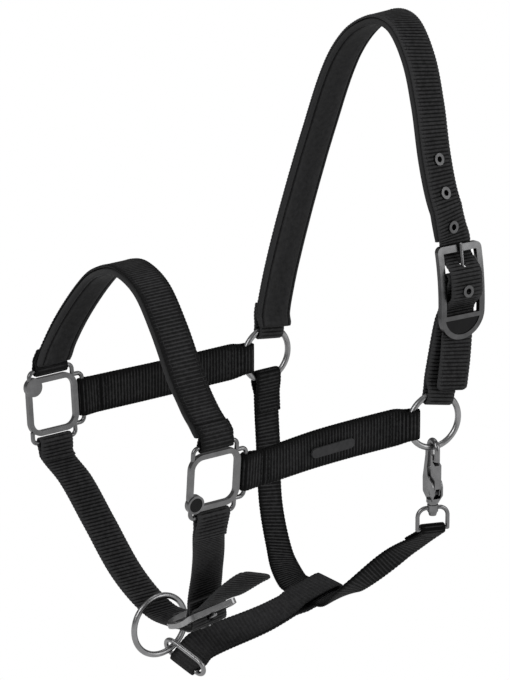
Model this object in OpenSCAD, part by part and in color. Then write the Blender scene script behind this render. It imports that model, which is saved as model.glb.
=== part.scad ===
// Horse headcollar of ribbed webbing: padded crown and noseband, cheek, chin, jaw and throat straps,
// with rings, squares, two buckles and a swivel snap. Millimetres.
// +X is the near side, -Y the nose, +Z up. The origin is where the crown lining rests on the poll.

/* [Webbing] */
// Width of the main webbing
web_w = 25; // [20:0.5:30]
// Thickness of one layer of webbing
web_t = 2; // [1.6:0.1:2.4]
// Width of the throat strap
throat_w = 20; // [16:0.5:22]
// Width that webbing is gathered to where it goes round a ring or link
gathered_w = 20; // [16:0.5:20.5]
// Gap between two layers that are sewn together
layer_gap = 0.2; // [0.1:0.05:0.4]
// Gap between webbing and the metal that it goes round
web_clear = 0.3; // [0.2:0.05:0.5]
// Length of webbing turned back and sewn down at a fold
turn_back = 14; // [8:1:24]
// The same beside padding, or where the strap leaves its loop at an angle
pad_turn_back = 4; // [2:0.5:10]
// The same on the outside of noseband and chin strap
outer_turn_back = 8; // [4:0.5:14]
// Length over which webbing closes up behind a ring
ring_lead = 7; // [5:0.5:14]

/* [Padding] */
// How much wider the padding is than the webbing
pad_over = 1.5; // [0:0.5:8]
// Thickness of the padding
pad_t = 4.5; // [3:0.25:6]

/* [Head] */
// Half the distance between the near and far sides
side_x = 92; // [86:1:100]
// Drop from poll to the near cheek ring
ring_drop = 242.2; // [225:0.1:270]
// How much lower the far side hangs
hang_skew = 6; // [0:0.5:10]
// Distance of the cheek rings in front of the poll
ring_forward = 31; // [24:0.5:40]
// Distance from cheek ring to noseband square, centre to centre
cheek_len = 175; // [160:1:200]
// Height of the noseband arch above the squares
nose_rise = 123; // [112:1:130]
// Turn of the near cheek ring towards the nose, in degrees
near_yaw = 7.5; // [0:0.5:10]
// Angle at which the squares tuck in at the bottom
square_tuck = 5; // [0:0.5:8]

/* [Rings] */
// Wire diameter of the rings
ring_wire = 4; // [3.4:0.1:4.4]
// Bore of the cheek rings
cheek_ring_bore = 32.5; // [32:0.5:36]
// Bore of the chin ring
chin_ring_bore = 37; // [35:0.5:40]
// Wire diameter of the jaw link
link_wire = 3.2; // [2.6:0.1:3.6]
// Straight length of the jaw link
link_straight = 22; // [21:0.5:26]
// Distance between the rails of the jaw link, centre to centre
link_pitch = 12; // [11.5:0.5:14]

/* [Squares] */
// How much wider the opening of the squares is than the webbing
square_over = 7; // [4:0.5:9]
// Width of the bars of the squares
square_bar = 3.5; // [3.25:0.25:5]
// Depth of the squares
square_depth = 3.2; // [3:0.1:4.5]
// Inner corner radius of the squares
square_corner = 6.5; // [4:0.5:8]
// Wire diameter of the strap loops
loop_wire = 2.9; // [2.4:0.1:3.2]
// Gap between a square and the wire of its strap loop
loop_slot = 3.2; // [3:0.1:6]
// Corner radius of a strap loop
loop_corner = 3.5; // [3:0.25:4]
// Radius of the corner disc
disc_r = 6.2; // [5:0.1:7]
// Radius of the inlay in the corner disc
disc_inlay_r = 4.6; // [3.5:0.1:5.5]

/* [Buckles] */
// How much wider a buckle's opening is than the webbing
buckle_over = 1.6; // [1.2:0.2:4]
// Width of the side bars of a buckle
buckle_side = 4.3; // [3:0.1:5]
// Depth of a buckle frame
buckle_depth = 3.4; // [2.8:0.1:4]
// Radius of the bow of a buckle frame, seen from the side
buckle_bow = 160; // [120:5:300]
// Distance from centre bar to the toe edge
toe_len = 21.2; // [19:0.2:24]
// Width of the toe bar
toe_bar = 4.5; // [3.5:0.25:5]
// Distance from centre bar to the heel edge
heel_len = 41.4; // [38:0.2:46]
// Distance from centre bar to the middle of the lower bar
lower_at = 26; // [25:0.25:28]
// Width of the lower bar
lower_bar = 3; // [2.4:0.1:4]
// Width of the rim round the heel cell
cell_rim = 3.4; // [2.4:0.1:4.5]
// Thickness of the plate behind the heel cell
cell_back = 1.2; // [0.8:0.1:1.6]
// Diameter of the centre bar
bar_d = 3.4; // [3:0.1:3.8]
// Diameter of the tongue prong
prong_d = 2.4; // [2:0.1:2.8]
// Width of the tongue eye
tongue_w = 4; // [3:0.25:5]

/* [Eyelets] */
// Bore of an eyelet
eyelet_bore = 4; // [3:0.1:5]
// Flange diameter of an eyelet
eyelet_flange = 8; // [7:0.1:9]
// Distance between eyelets
eyelet_pitch = 22; // [20:0.5:24]
// Distance from the heel of the chin buckle to the middle of the next eyelet
heel_to_eyelet = 6.6; // [5.6:0.1:9]
// Thickness of an eyelet flange
flange_t = 0.8; // [0.5:0.1:1]

/* [Snap] */
// Wire radius of the hook
hook_r = 1.9; // [1.8:0.1:2.2]
// Radius of the hook, to the middle of its wire
hook_bend = 5.6; // [5.6:0.1:7]
// Length of the snap from hook centre to the foot of the body
snap_len = 35; // [33:0.5:40]
// Depth of the snap body
snap_depth = 7.6; // [7.4:0.2:10]
// Width of the gate
gate_w = 4.6; // [4.4:0.1:4.8]
// Radius of the gate pin
gate_pin_r = 1.2; // [1:0.1:1.4]
// Radius of the swivel shank
shank_r = 1.8; // [1.6:0.1:2]
// Wire diameter of the bail
bail_wire = 2.8; // [2.4:0.1:3.2]
// How much narrower the throat strap is gathered in the bail
bail_gather = 3.5; // [0:0.5:4]
// Drop from bail boss to bail bar
bail_drop = 14.6; // [14:0.2:22]

/* [Badge] */
// Length of the plate on the near cheek strap
badge_len = 35; // [25:0.5:45]
// Height of the plate
badge_h = 6.5; // [5:0.25:9]
// Thickness of the plate
badge_t = 1.4; // [1:0.1:2]

/* [Clearance] */
// Running clearance between metal pieces
run_clear = 0.25; // [0.15:0.05:0.4]

/* [Hidden] */
$fn = 48;

webbing_black = "#1b1b1c";
lining_black = "#141415";
gunmetal = "#5b5c5e";
inlay_black = "#0e0e0f";

X_AXIS = [1, 0, 0];
Y_AXIS = [0, 1, 0];
Z_AXIS = [0, 0, 1];

// Vectors and curves

function unit(v) = v / norm(v);
function square_to(v, axis) = unit(v - (v * axis) * axis);

// Direction of a smooth line through a list of points, at point i
function heading(list, i) =
    let (a = list[max(i - 1, 0)], b = list[i], c = list[min(i + 1, len(list) - 1)])
    (c - a) / (norm(c - b) + norm(b - a));

function spline(list, i, t) =
    let (a = list[i], b = list[i + 1], l = norm(b - a))
    (2 * t * t * t - 3 * t * t + 1) * a + (t * t * t - 2 * t * t + t) * l * heading(list, i)
    + (3 * t * t - 2 * t * t * t) * b + (t * t * t - t * t) * l * heading(list, i + 1);

function smooth(list, n) =
    [for (i = [0 : len(list) - 2], k = [0 : n - 1]) spline(list, i, k / n), list[len(list) - 1]];

function mixed(list, n) =
    [for (i = [0 : len(list) - 2], k = [0 : n - 1]) list[i] + k / n * (list[i + 1] - list[i]),
        list[len(list) - 1]];

function arc(centre, r, from, to, n) =
    [for (k = [0 : n]) let (a = from + (to - from) * k / n) centre + r * [cos(a), sin(a)]];

// A spine is the line that a strap follows: rows of [run, point, width direction, outward, along]

function spine(points, widths, n = 6) =
    let (
        p = smooth(points, n),
        w = mixed(widths, n),
        last = len(p) - 1,
        t = [for (i = [0 : last]) unit(p[min(i + 1, last)] - p[max(i - 1, 0)])],
        run = [for (i = 0, s = 0; i <= last; s = s + (i < last ? norm(p[i + 1] - p[i]) : 0), i = i + 1) s]
    )
    [for (i = [0 : last])
        let (across = square_to(w[i], t[i]))
        [run[i], p[i], across, cross(t[i], across), t[i]]];

function spine_end(rows) = rows[len(rows) - 1][0];
function track(rows, k, s) = [for (c = [0 : 2]) lookup(s, [for (r = rows) [r[0], r[k][c]]])];
function beyond(rows, s) = s - max(0, min(s, spine_end(rows)));

// A place beside a spine: run along it, outward offset, sideways offset
function spot(rows, s, out = 0, side = 0) =
    track(rows, 1, s) + beyond(rows, s) * unit(track(rows, 4, s))
    + out * unit(track(rows, 3, s)) + side * unit(track(rows, 2, s));

// Run at which a spine passes nearest to a point
function nearest_run(rows, p) =
    let (gaps = [for (r = rows) norm(r[1] - p)])
    rows[search(min(gaps), gaps)[0]][0];

// A lay is a strap's own path on its spine: a list of [run, outward offset, width]

function wide(path, w) = [for (q = path) [q[0], q[1], w]];
function lay_normal(lay, i) =
    let (
        a = lay[max(i - 1, 0)],
        b = lay[min(i + 1, len(lay) - 1)],
        d = unit([b[0] - a[0], b[1] - a[1]])
    )
    [-d[1], d[0]];

function band_corners(rows, lay, t) =
    [for (i = [0 : len(lay) - 1])
        let (q = lay[i], n = lay_normal(lay, i) * t / 2)
        for (c = [[-1, -1], [1, -1], [1, 1], [-1, 1]])
            spot(rows, q[0] + c[1] * n[0], q[1] + c[1] * n[1], c[0] * q[2] / 2)];

module band(rows, lay, t) {
    last = len(lay) - 1;
    faces = concat(
        [[0, 1, 2], [0, 2, 3]],
        [[4 * last, 4 * last + 2, 4 * last + 1], [4 * last, 4 * last + 3, 4 * last + 2]],
        [for (i = [0 : last - 1], k = [0 : 3])
            let (a = 4 * i + k, b = 4 * i + (k + 1) % 4)
            for (f = k == 2 ? [[a, a + 4, b], [a + 4, b + 4, b]] : [[a, a + 4, b + 4], [a, b + 4, b]]) f]
    );
    polyhedron(band_corners(rows, lay, t), faces, convexity = 10);
}

// Runs from one place to another with in-between stops, so that a band follows its spine's curve
function stops(from, to, out, w, n) =
    [for (k = [0 : n]) [from + (to - from) * k / n, out, w]];

half_layer = (web_t + layer_gap) / 2;

// Turn round a bar at run s0, from the outer layer to the inner: dir -1 where the strap lies beyond
// the bar, 1 where it ends there; outer and inner are the offsets at which the layers lie flat
function bar_turn(s0, dir, bar_r, w, lead = 9, outer = half_layer, inner = -half_layer, n = 10) =
    let (r = bar_r + web_clear + web_t / 2)
    concat(
        [[s0 - dir * lead, outer, w]],
        [for (q = arc([0, 0], r, 90, -90, n)) [s0 + dir * q[0], q[1], w]],
        [[s0 - dir * lead, inner, w]]
    );

// Turn round a ring whose centre is at run s0; the wire bows away across the gathered width
function ring_turn(s0, dir, bore_r, w = web_w, outer = half_layer, inner = -half_layer, n = 10) =
    let (
        hollow = ring_wire / 2 + web_clear,
        r = hollow + web_t / 2,
        narrow = min(w, gathered_w),
        seat = sqrt(bore_r * bore_r - narrow * narrow / 4) - web_clear + hollow,
        clear_of_wire = bore_r + ring_wire
    )
    concat(
        [[s0 - dir * (clear_of_wire + ring_lead), outer, w], [s0 - dir * clear_of_wire, r, narrow]],
        [for (q = arc([0, 0], r, 90, -90, n)) [s0 - dir * (seat - q[0]), q[1], narrow]],
        [[s0 - dir * clear_of_wire, -r, narrow], [s0 - dir * (clear_of_wire + ring_lead), inner, w]]
    );
function reversed(list) = [for (i = [len(list) - 1 : -1 : 0]) list[i]];

// Where the fittings are

near_ring_at = [side_x, -ring_forward, -ring_drop];
far_ring_at = [-side_x, -ring_forward, -ring_drop - hang_skew];
near_square_at = near_ring_at + [0, -cheek_len, -2];
far_square_at = far_ring_at + [0, -cheek_len + 1.5, 0.5];
near_ring_back = [sin(near_yaw), cos(near_yaw), 0];
near_ring_out = [cos(near_yaw), -sin(near_yaw), 0];
near_square_up = [sin(square_tuck), 0, cos(square_tuck)];
far_square_up = [-sin(square_tuck), 0, cos(square_tuck)];

pad_w = web_w + pad_over;
square_open = web_w + square_over;
buckle_open = web_w + buckle_over;
cheek_ring_r = cheek_ring_bore / 2;
cheek_ring_mid = cheek_ring_r + ring_wire / 2;
chin_ring_mid = chin_ring_bore / 2 + ring_wire / 2;
square_half = square_open / 2 + square_bar;
loop_at = square_half + loop_slot + loop_wire / 2;
loop_half = web_w / 2 + loop_corner + 2.5 * web_clear;
buckle_half = buckle_open / 2 + buckle_side;
bar_r = bar_d / 2;

// A buckle's own axes: across, along to the toe, outward
crown_bar_at = near_ring_at + [6.2, 16, 96.3];
crown_toe = unit([-0.1, 0.03, 0.995]);
crown_across = square_to(Y_AXIS, crown_toe);
crown_out = cross(crown_across, crown_toe);

chin_mid = [0, far_square_at[1], far_square_at[2]];
chin_bar_at = chin_mid + [32.3, 33.7, -116.6];
chin_toe = unit([0.879, -0.242, 0.411]);
chin_across = square_to([0.16, 0.961, 0.224], chin_toe);
chin_out = cross(chin_across, chin_toe);

// Height of the bowed frame's middle at a place along the buckle, outward positive
bow_at = -10;
function bow(y) = sqrt(buckle_bow * buckle_bow - (y - bow_at) * (y - bow_at)) - buckle_bow;
function frame_front(y) = bow(y) + buckle_depth / 2;
function frame_back(y) = bow(y) - buckle_depth / 2;

module on_buckle(at, across, toe, out) {
    multmatrix([
        [across[0], toe[0], out[0], at[0]],
        [across[1], toe[1], out[1], at[1]],
        [across[2], toe[2], out[2], at[2]],
        [0, 0, 0, 1]
    ])
        children();
}
module on_crown_buckle() {
    on_buckle(crown_bar_at, crown_across, crown_toe, crown_out) children();
}
module on_chin_buckle() {
    on_buckle(chin_bar_at, chin_across, chin_toe, chin_out) children();
}

// Spines of the straps

crown_arch = [
    [-0.98, -20, -192], [-0.93, -10, -147], [-0.79, -4, -98], [-0.5, -5, -42], [-0.26, -5, -14.5],
    [0, -4, 0], [0.3, -8, 0], [0.54, -12, -18], [0.7, -15.5, -45], [0.83, -18.5, -79], [0.93, -18, -106]
];
crown_base = pad_t + layer_gap + web_t / 2;
crown_points = concat(
    [for (k = [0 : 2]) far_ring_at + 17 * k * unit([0, 4, 28])],
    [for (p = crown_arch) [p[0] * side_x, p[1], p[2] * ring_drop / 246.7 + crown_base]],
    [for (y = [26, 13, 0, -13, -26, -41]) crown_bar_at + y * crown_toe],
    [crown_bar_at + [6, -7.5, -76]]
);
near_turned = unit([-0.15, 0.985, 0]);
crown_widths = concat(
    [for (i = [1 : 8]) Y_AXIS],
    [for (i = [1 : 6]) near_turned],
    [for (i = [1 : 7]) crown_across]
);
crown_spine = spine(crown_points, crown_widths, 4);
crown_bar_run = nearest_run(crown_spine, crown_bar_at);

chape_spine = spine(
    [
        near_ring_at,
        near_ring_at + 3 * near_ring_back + 16 * Z_AXIS,
        near_ring_at + 6 * near_ring_back + 32 * Z_AXIS,
        crown_bar_at - 31 * crown_toe - 9.9 * crown_out - [0, 2, 0],
        crown_bar_at - 22 * crown_toe - 7.7 * crown_out,
        crown_bar_at - 11 * crown_toe - 3.7 * crown_out,
        crown_bar_at
    ],
    [near_ring_back, near_ring_back, near_ring_back, crown_across, crown_across, crown_across, crown_across]
);

nose_arch = [
    [-0.92, 10, 0.5], [-0.62, 12, 0.77], [-0.24, 2, 0.93], [0.09, -5, 1], [0.42, -10, 0.96],
    [0.71, -15, 0.81], [0.935, -15.5, 0.57], [0.962, -7.8, 0.41]
];
noseband_points = concat(
    [for (s = [0, 4, 8]) far_square_at + loop_at * far_square_up + s * unit([0.1, 0, 1])],
    [for (p = nose_arch) [p[0] * side_x, far_square_at[1] + p[1], far_square_at[2] + p[2] * nose_rise]],
    [for (s = [8, 4, 0]) near_square_at + loop_at * near_square_up + s * unit([-0.1, 0, 1])]
);
noseband_spine = spine(noseband_points, [for (p = noseband_points) Y_AXIS]);

near_cheek_spine = spine(
    [
        near_ring_at,
        near_ring_at - 16 * near_ring_back,
        near_ring_at - 32 * near_ring_back,
        near_ring_at - 90 * Y_AXIS - 2.5 * X_AXIS,
        near_square_at + (loop_at + 14) * Y_AXIS,
        near_square_at + loop_at * Y_AXIS
    ],
    [-Z_AXIS, -Z_AXIS, -Z_AXIS, -Z_AXIS, -near_square_up, -near_square_up]
);
far_cheek_spine = spine(
    [
        far_ring_at,
        far_ring_at - 16 * Y_AXIS,
        far_ring_at - 32 * Y_AXIS,
        far_ring_at - 90 * Y_AXIS,
        far_square_at + (loop_at + 14) * Y_AXIS,
        far_square_at + loop_at * Y_AXIS
    ],
    [-Z_AXIS, -Z_AXIS, -Z_AXIS, -Z_AXIS, -far_square_up, -far_square_up]
);

near_chin_from = near_square_at - loop_at * near_square_up;
chin_pull = unit(0.74 * chin_toe - 0.67 * chin_out);
near_chin_spine = spine(
    [
        near_chin_from,
        near_chin_from + 6 * unit([-0.25, 0, -1]),
        near_chin_from + 13 * unit([-0.25, 0, -1]),
        near_chin_from + [-21, 12.4, -36],
        near_chin_from + [-41.5, 25.5, -60],
        chin_bar_at + 18 * chin_pull,
        chin_bar_at + 9 * chin_pull,
        chin_bar_at
    ],
    [Y_AXIS, Y_AXIS, Y_AXIS, Y_AXIS, Y_AXIS, chin_across, chin_across, chin_across]
);

chin_dip = chin_mid + [-30, 41.5, -135];
far_chin_from = far_square_at - loop_at * far_square_up;
far_chin_points = concat(
    [
        far_chin_from,
        far_chin_from + 5 * unit([0.15, 0, -1]),
        far_chin_from + 10 * unit([0.15, 0, -1]),
        far_chin_from + [6.5, 12, -29],
        far_chin_from + [17, 23, -58],
        chin_mid + [-52, 32, -115],
        chin_dip
    ],
    [for (y = [0.4 - heel_len, -26, -13, 0, 13]) chin_bar_at + y * chin_toe],
    [chin_bar_at + 26 * chin_toe + [0, 1, 0], chin_bar_at + 44 * chin_toe + [0, 6, 1],
     chin_bar_at + 68 * chin_toe + [0, 20, 4]]
);
far_chin_widths = concat([for (i = [1 : 7]) -Y_AXIS], [for (i = [1 : 6]) -chin_across], [-Y_AXIS, -Y_AXIS]);
far_chin_spine = spine(far_chin_points, far_chin_widths, 4);
chin_bar_run = nearest_run(far_chin_spine, chin_bar_at);

// Chin ring: its chord holds the strap, with the wire clear of both edges
chin_ring_sink = sqrt(pow(chin_ring_bore / 2 - web_clear, 2) - web_w * web_w / 4) - web_t - 0.4;
chin_ring_at = chin_dip - [0, 0, chin_ring_sink];

// Jaw link: hangs on the chin ring behind its lowest point
link_hang = 31.5;
link_on_ring = chin_ring_at + chin_ring_mid * [0, sin(link_hang), -cos(link_hang)];
link_along = unit([0.9, 0.25, -0.36]);
link_down = square_to([-0.43, 0.18, -0.88], link_along);
link_at = link_on_ring + 2 * link_down + link_straight / 2 * link_along;
link_rail_at = link_at + link_pitch / 2 * link_down;

sleeve_at = [0, far_square_at[1] + 145, far_square_at[2] - 137];
jaw_pull = unit(sleeve_at - link_rail_at);
jaw_start = square_to(jaw_pull, link_along);
sleeve_along = unit([0.12, 0.93, 0.3]);
jaw_points = [
    link_rail_at, link_rail_at + 8 * jaw_start, link_rail_at + 18 * jaw_start,
    sleeve_at - 40 * sleeve_along, sleeve_at - 14 * sleeve_along, sleeve_at, sleeve_at + 14 * sleeve_along
];
jaw_widths = [
    link_along, link_along, unit([0.93, -0.05, -0.37]), unit([0.94, -0.24, -0.25]), unit([1, -0.12, -0.05]),
    X_AXIS, X_AXIS
];
jaw_spine = spine(jaw_points, jaw_widths);

// Snap: hangs from the lowest point of the near ring, on the swivel's vertical axis
hook_inner = hook_bend - hook_r;
hook_at = near_ring_at + [0, 0, -cheek_ring_mid - hook_inner + ring_wire / 2 + run_clear];
body_foot = -snap_len;
collar_h = 3;
boss_h = 4.6;
boss_r = shank_r + run_clear + 1.6;
boss_top = body_foot - collar_h - run_clear;
head_h = 2.6;
bail_strap_w = throat_w - bail_gather;
bail_half = bail_strap_w / 2 + 0.6 + bail_wire / 2;
bail_bar_at = hook_at + [0, 0, boss_top - boss_h / 2 - bail_drop];

bail_yaw = 20;
snap_yaw = -12;
bail_across = [sin(bail_yaw), cos(bail_yaw), 0];
bail_pull = square_to(sleeve_at - bail_bar_at, bail_across);
sleeve_across = unit([0, sleeve_along[1], sleeve_along[2]]);
throat_points = [
    far_ring_at,
    far_ring_at + [0, 0, -16],
    far_ring_at + [0, 0, -32],
    far_ring_at + [4, -1, -66],
    far_ring_at + [14, -6, -103],
    far_ring_at + [36, -14, -130],
    sleeve_at + [-26, 2, -0.5],
    sleeve_at + [-13, 0, 0],
    sleeve_at + [13, 0, 0],
    sleeve_at + [28, -2, 5],
    sleeve_at + [48, -3, 19],
    bail_bar_at + [-27, -6, -24],
    bail_bar_at + 12 * bail_pull,
    bail_bar_at + 6 * bail_pull,
    bail_bar_at
];
throat_widths = [
    -Y_AXIS, -Y_AXIS, -Y_AXIS, -Y_AXIS, [0.1, -0.99, 0], [0.1, -0.99, 0],
    -sleeve_across, -sleeve_across, -sleeve_across, -sleeve_across,
    [0.05, -0.93, 0.35], [-0.2, -0.94, 0.15], -bail_across, -bail_across, -bail_across
];
throat_spine = spine(throat_points, throat_widths);

// Straps

crown_fold_end = cheek_ring_r + ring_wire + ring_lead;
inside = -web_t - layer_gap;
over = web_t + layer_gap;
crown_low = frame_back(toe_len) - web_clear - web_t / 2;
bulge = bar_r + 2 * web_clear + 1.5 * web_t + 0.6;
crown_step = (crown_bar_run - 46 - crown_fold_end) / 46;
function crown_runs(from, to) = [for (k = [from : to]) crown_fold_end + k * crown_step];
crown_lay = concat(
    [[crown_fold_end + outer_turn_back, over, web_w]],
    ring_turn(0, -1, cheek_ring_r, web_w, over, 0),
    [for (s = crown_runs(1, 46)) [s, 0, web_w]],
    [for (q = [
        [39, -2.6], [32, -5.2], [26, crown_low - 0.2], [20, crown_low - 0.35], [15.2, crown_low + 0.2],
        [12.2, -3.6], [6.5, 3.4], [3.5, bulge - 0.4], [0, bulge], [-9.5, bulge], [-13, bulge - 1],
        [-19.6, -2.4], [-23, frame_back(-lower_at) - 1.5], [-27, frame_back(-lower_at) - 1.7],
        [0.4 - heel_len, frame_back(-heel_len) - 1.6], [-58, -5.4], [-76, -5]
    ]) [crown_bar_run - q[0], q[1], web_w]]
);

module crown_webbing() {
    color(webbing_black)
        difference() {
            band(crown_spine, crown_lay, web_t);
            for (s = crown_eyelet_runs)
                on_crown_strap(s) cylinder(d = eyelet_bore + 1.6, h = 3 * web_t, center = true);
            on_crown_buckle() {
                prong_hole();
                translate([0, -8.4, bulge])
                    cylinder(d = eyelet_bore + 1.6, h = 3 * web_t, center = true);
            }
        }
}

crown_eyelet_runs = [for (k = [1 : 3]) crown_bar_run - 12 - k * eyelet_pitch];
crown_slope = [for (q = crown_lay)
    if (q[0] > crown_bar_run - 120 && q[0] < crown_bar_run - 20) [q[0], q[1]]];
function crown_offset(s) = lookup(s, crown_slope);
module on_crown_strap(s) {
    at_spot(crown_spine, s, crown_offset(s))
        rotate([0, atan((crown_offset(s - 3.5) - crown_offset(s + 3.5)) / 7), 0]) children();
}

padding_out = -web_t / 2 - layer_gap - pad_t / 2;
module crown_padding() {
    ring_out = ring_wire / 2 + web_clear + web_t / 2;
    color(lining_black)
        band(crown_spine, concat(
            [[crown_fold_end - ring_lead + 0.6, padding_out - ring_out - 0.3, pad_w]],
            [[crown_fold_end + 0.6, padding_out - 0.3, pad_w]],
            [for (s = crown_runs(1, 46)) [s, padding_out, pad_w]],
            [for (q = [[39, -2.9], [32, -5.6], [26.5, crown_low - 0.9]])
                [crown_bar_run - q[0], q[1] + padding_out, pad_w]]
        ), pad_t);
}

module crown_chape() {
    end = spine_end(chape_spine);
    color(webbing_black)
        difference() {
            band(chape_spine, doubled(
                ring_turn(0, -1, cheek_ring_r), bar_turn(end, 1, bar_r, web_w, 12), 8, 10
            ), web_t);
            on_crown_buckle() tongue_slot();
        }
}

// Doubled strap: outer layer to the first turn, inner layer back to the second, and out again to where
// it began, overlap beyond the first turn
function doubled(first, second, n, overlap) =
    let (
        a = first[0][0],
        b = second[0][0],
        join = a + overlap
    )
    concat(
        stops(join, a + 2, half_layer, web_w, max(1, round(n * overlap / (b - a)))),
        first,
        [for (k = [1 : n - 1]) [a + (b - a) * k / n, -half_layer, web_w]],
        reversed(second),
        stops(b - 2, join + 0.5, half_layer, web_w, max(1, round(n * (b - join) / (b - a))))
    );

module at_spot(rows, s, out) {
    along = unit(track(rows, 4, s));
    across = square_to(unit(track(rows, 2, s)), along);
    up = cross(along, across);
    p = spot(rows, s, out);
    multmatrix([
        [along[0], across[0], up[0], p[0]],
        [along[1], across[1], up[1], p[1]],
        [along[2], across[2], up[2], p[2]],
        [0, 0, 0, 1]
    ])
        children();
}

// Eyelet: flange on the outside of the webbing, barrel through it
module eyelet() {
    rotate_extrude()
        translate([eyelet_bore / 2, 0])
            union() {
                translate([0, -web_t / 2]) square([0.6, web_t + flange_t]);
                translate([0, web_t / 2 + 0.05]) square([(eyelet_flange - eyelet_bore) / 2, flange_t]);
            }
}

module crown_eyelets() {
    color(gunmetal) {
        for (s = crown_eyelet_runs)
            on_crown_strap(s) translate([0, 0, 0.4]) eyelet();
        on_crown_buckle() translate([0, -8.4, bulge]) eyelet();
    }
}

// Buckles

prong_tilt = 5;
prong_at = bar_r + 0.7;
prong_len = toe_len + 0.5;
module prong_line() {
    translate([0, 0, prong_at]) rotate([-90 - prong_tilt, 0, 0]) children();
}
module prong_hole() {
    prong_line() translate([0, 0, 2]) cylinder(d = prong_d + 2.4, h = 12.5);
}
module tongue_slot() {
    translate([0, 0, 0]) cube([tongue_w + 1, 16, 16], center = true);
}

module buckle_outline() {
    corner = 4;
    union() {
        translate([-buckle_half, -heel_len + buckle_half])
            square([2 * buckle_half, toe_len + heel_len - buckle_half - corner]);
        translate([-buckle_half + corner, 0]) square([2 * (buckle_half - corner), toe_len]);
        for (x = [-1, 1])
            translate([x * (buckle_half - corner), toe_len - corner]) circle(r = corner);
        translate([0, -heel_len + buckle_half]) circle(r = buckle_half);
    }
}
module buckle_window() {
    bottom = -lower_at + lower_bar / 2;
    translate([-buckle_open / 2, bottom]) square([buckle_open, toe_len - toe_bar - bottom]);
}
module cell_outline(shrink) {
    top = -lower_at - lower_bar / 2 - shrink;
    intersection() {
        translate([0, -heel_len + buckle_half]) circle(r = buckle_half - cell_rim - shrink);
        translate([-buckle_half, -heel_len]) square([2 * buckle_half, heel_len + top]);
    }
}
// Bowed sheet between two depths of the frame
module bowed(back, front) {
    intersection() {
        translate([0, 0, -12]) linear_extrude(18) children();
        translate([0, bow_at, -buckle_bow])
            rotate([0, 90, 0])
                difference() {
                    cylinder(r = buckle_bow + front, h = 4 * buckle_half, center = true, $fn = 180);
                    cylinder(r = buckle_bow + back, h = 5 * buckle_half, center = true, $fn = 180);
                }
    }
}
module buckle_frame() {
    union() {
        bowed(-buckle_depth / 2, buckle_depth / 2)
            difference() {
                buckle_outline();
                buckle_window();
                cell_outline(0);
            }
        bowed(-buckle_depth / 2, -buckle_depth / 2 + cell_back) cell_outline(-0.5);
        rotate([0, 90, 0]) cylinder(d = bar_d, h = buckle_open + 1, center = true);
    }
}
module buckle_inlay() {
    bowed(-buckle_depth / 2 + cell_back + 0.05, buckle_depth / 2 - 0.5) cell_outline(0.2);
}
module buckle_tongue() {
    difference() {
        union() {
            rotate([0, 90, 0]) cylinder(r = bar_r + run_clear + 1.6, h = tongue_w, center = true);
            prong_line() cylinder(d = prong_d, h = prong_len);
            prong_line() translate([0, 0, prong_len]) sphere(d = prong_d);
        }
        rotate([0, 90, 0]) cylinder(r = bar_r + run_clear, h = 3 * tongue_w, center = true);
    }
}

module crown_buckle_frame() { color(gunmetal) on_crown_buckle() buckle_frame(); }
module crown_buckle_tongue() { color(gunmetal) on_crown_buckle() buckle_tongue(); }
module crown_buckle_inlay() { color(inlay_black) on_crown_buckle() buckle_inlay(); }
module chin_buckle_frame() { color(gunmetal) on_chin_buckle() buckle_frame(); }
module chin_buckle_tongue() { color(gunmetal) on_chin_buckle() buckle_tongue(); }
module chin_buckle_inlay() { color(inlay_black) on_chin_buckle() buckle_inlay(); }

// Noseband: webbing turns round both top loops, padding inside

nose_end = spine_end(noseband_spine);
nose_fold = 7;
nose_step = (nose_end - 2 * nose_fold) / 36;
pad_start = nose_fold + 4.5;
nose_stations = concat(
    [pad_start], [for (k = [1 : 35]) nose_fold + k * nose_step], [nose_end - pad_start]
);
// The padding's ends pass under the folds of the webbing
pad_tuck = [[6, 1.6]];
module noseband_webbing() {
    color(webbing_black)
        band(noseband_spine, concat(
            [[nose_fold + outer_turn_back, over, web_w]],
            bar_turn(0, -1, loop_wire / 2, web_w, nose_fold, over, 0),
            [for (s = nose_stations) [s, 0, web_w]],
            reversed(bar_turn(nose_end, 1, loop_wire / 2, web_w, nose_fold, over, 0)),
            [[nose_end - nose_fold - outer_turn_back, over, web_w]]
        ), web_t);
}
module noseband_padding() {
    color(lining_black)
        band(noseband_spine, concat(
            [for (q = pad_tuck) [q[0], padding_out - q[1], pad_w]],
            [for (k = [1 : 35]) [nose_fold + k * nose_step, padding_out, pad_w]],
            [for (q = reversed(pad_tuck)) [nose_end - q[0], padding_out - q[1], pad_w]]
        ), pad_t);
}

// Cheek straps: doubled, with the ends of the webbing meeting near the square

function cheek_lay(end) = doubled(
    ring_turn(0, -1, cheek_ring_r), bar_turn(end, 1, loop_wire / 2, web_w), 14, end - crown_fold_end - 13
);

module near_cheek_strap() {
    end = spine_end(near_cheek_spine);
    color(webbing_black)
        band(near_cheek_spine, cheek_lay(end), web_t);
}
module far_cheek_strap() {
    end = spine_end(far_cheek_spine);
    color(webbing_black)
        band(far_cheek_spine, cheek_lay(end), web_t);
}
module cheek_badge() {
    s = 82;
    color(gunmetal)
        at_spot(near_cheek_spine, s, half_layer + web_t / 2 + 0.25)
            translate([0, 1.5, 0]) linear_extrude(badge_t)
                union() {
                    square([badge_len - badge_h, badge_h], center = true);
                    for (x = [-1, 1])
                        translate([x * (badge_len - badge_h) / 2, 0]) circle(d = badge_h);
                }
}

// Chin straps

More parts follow.
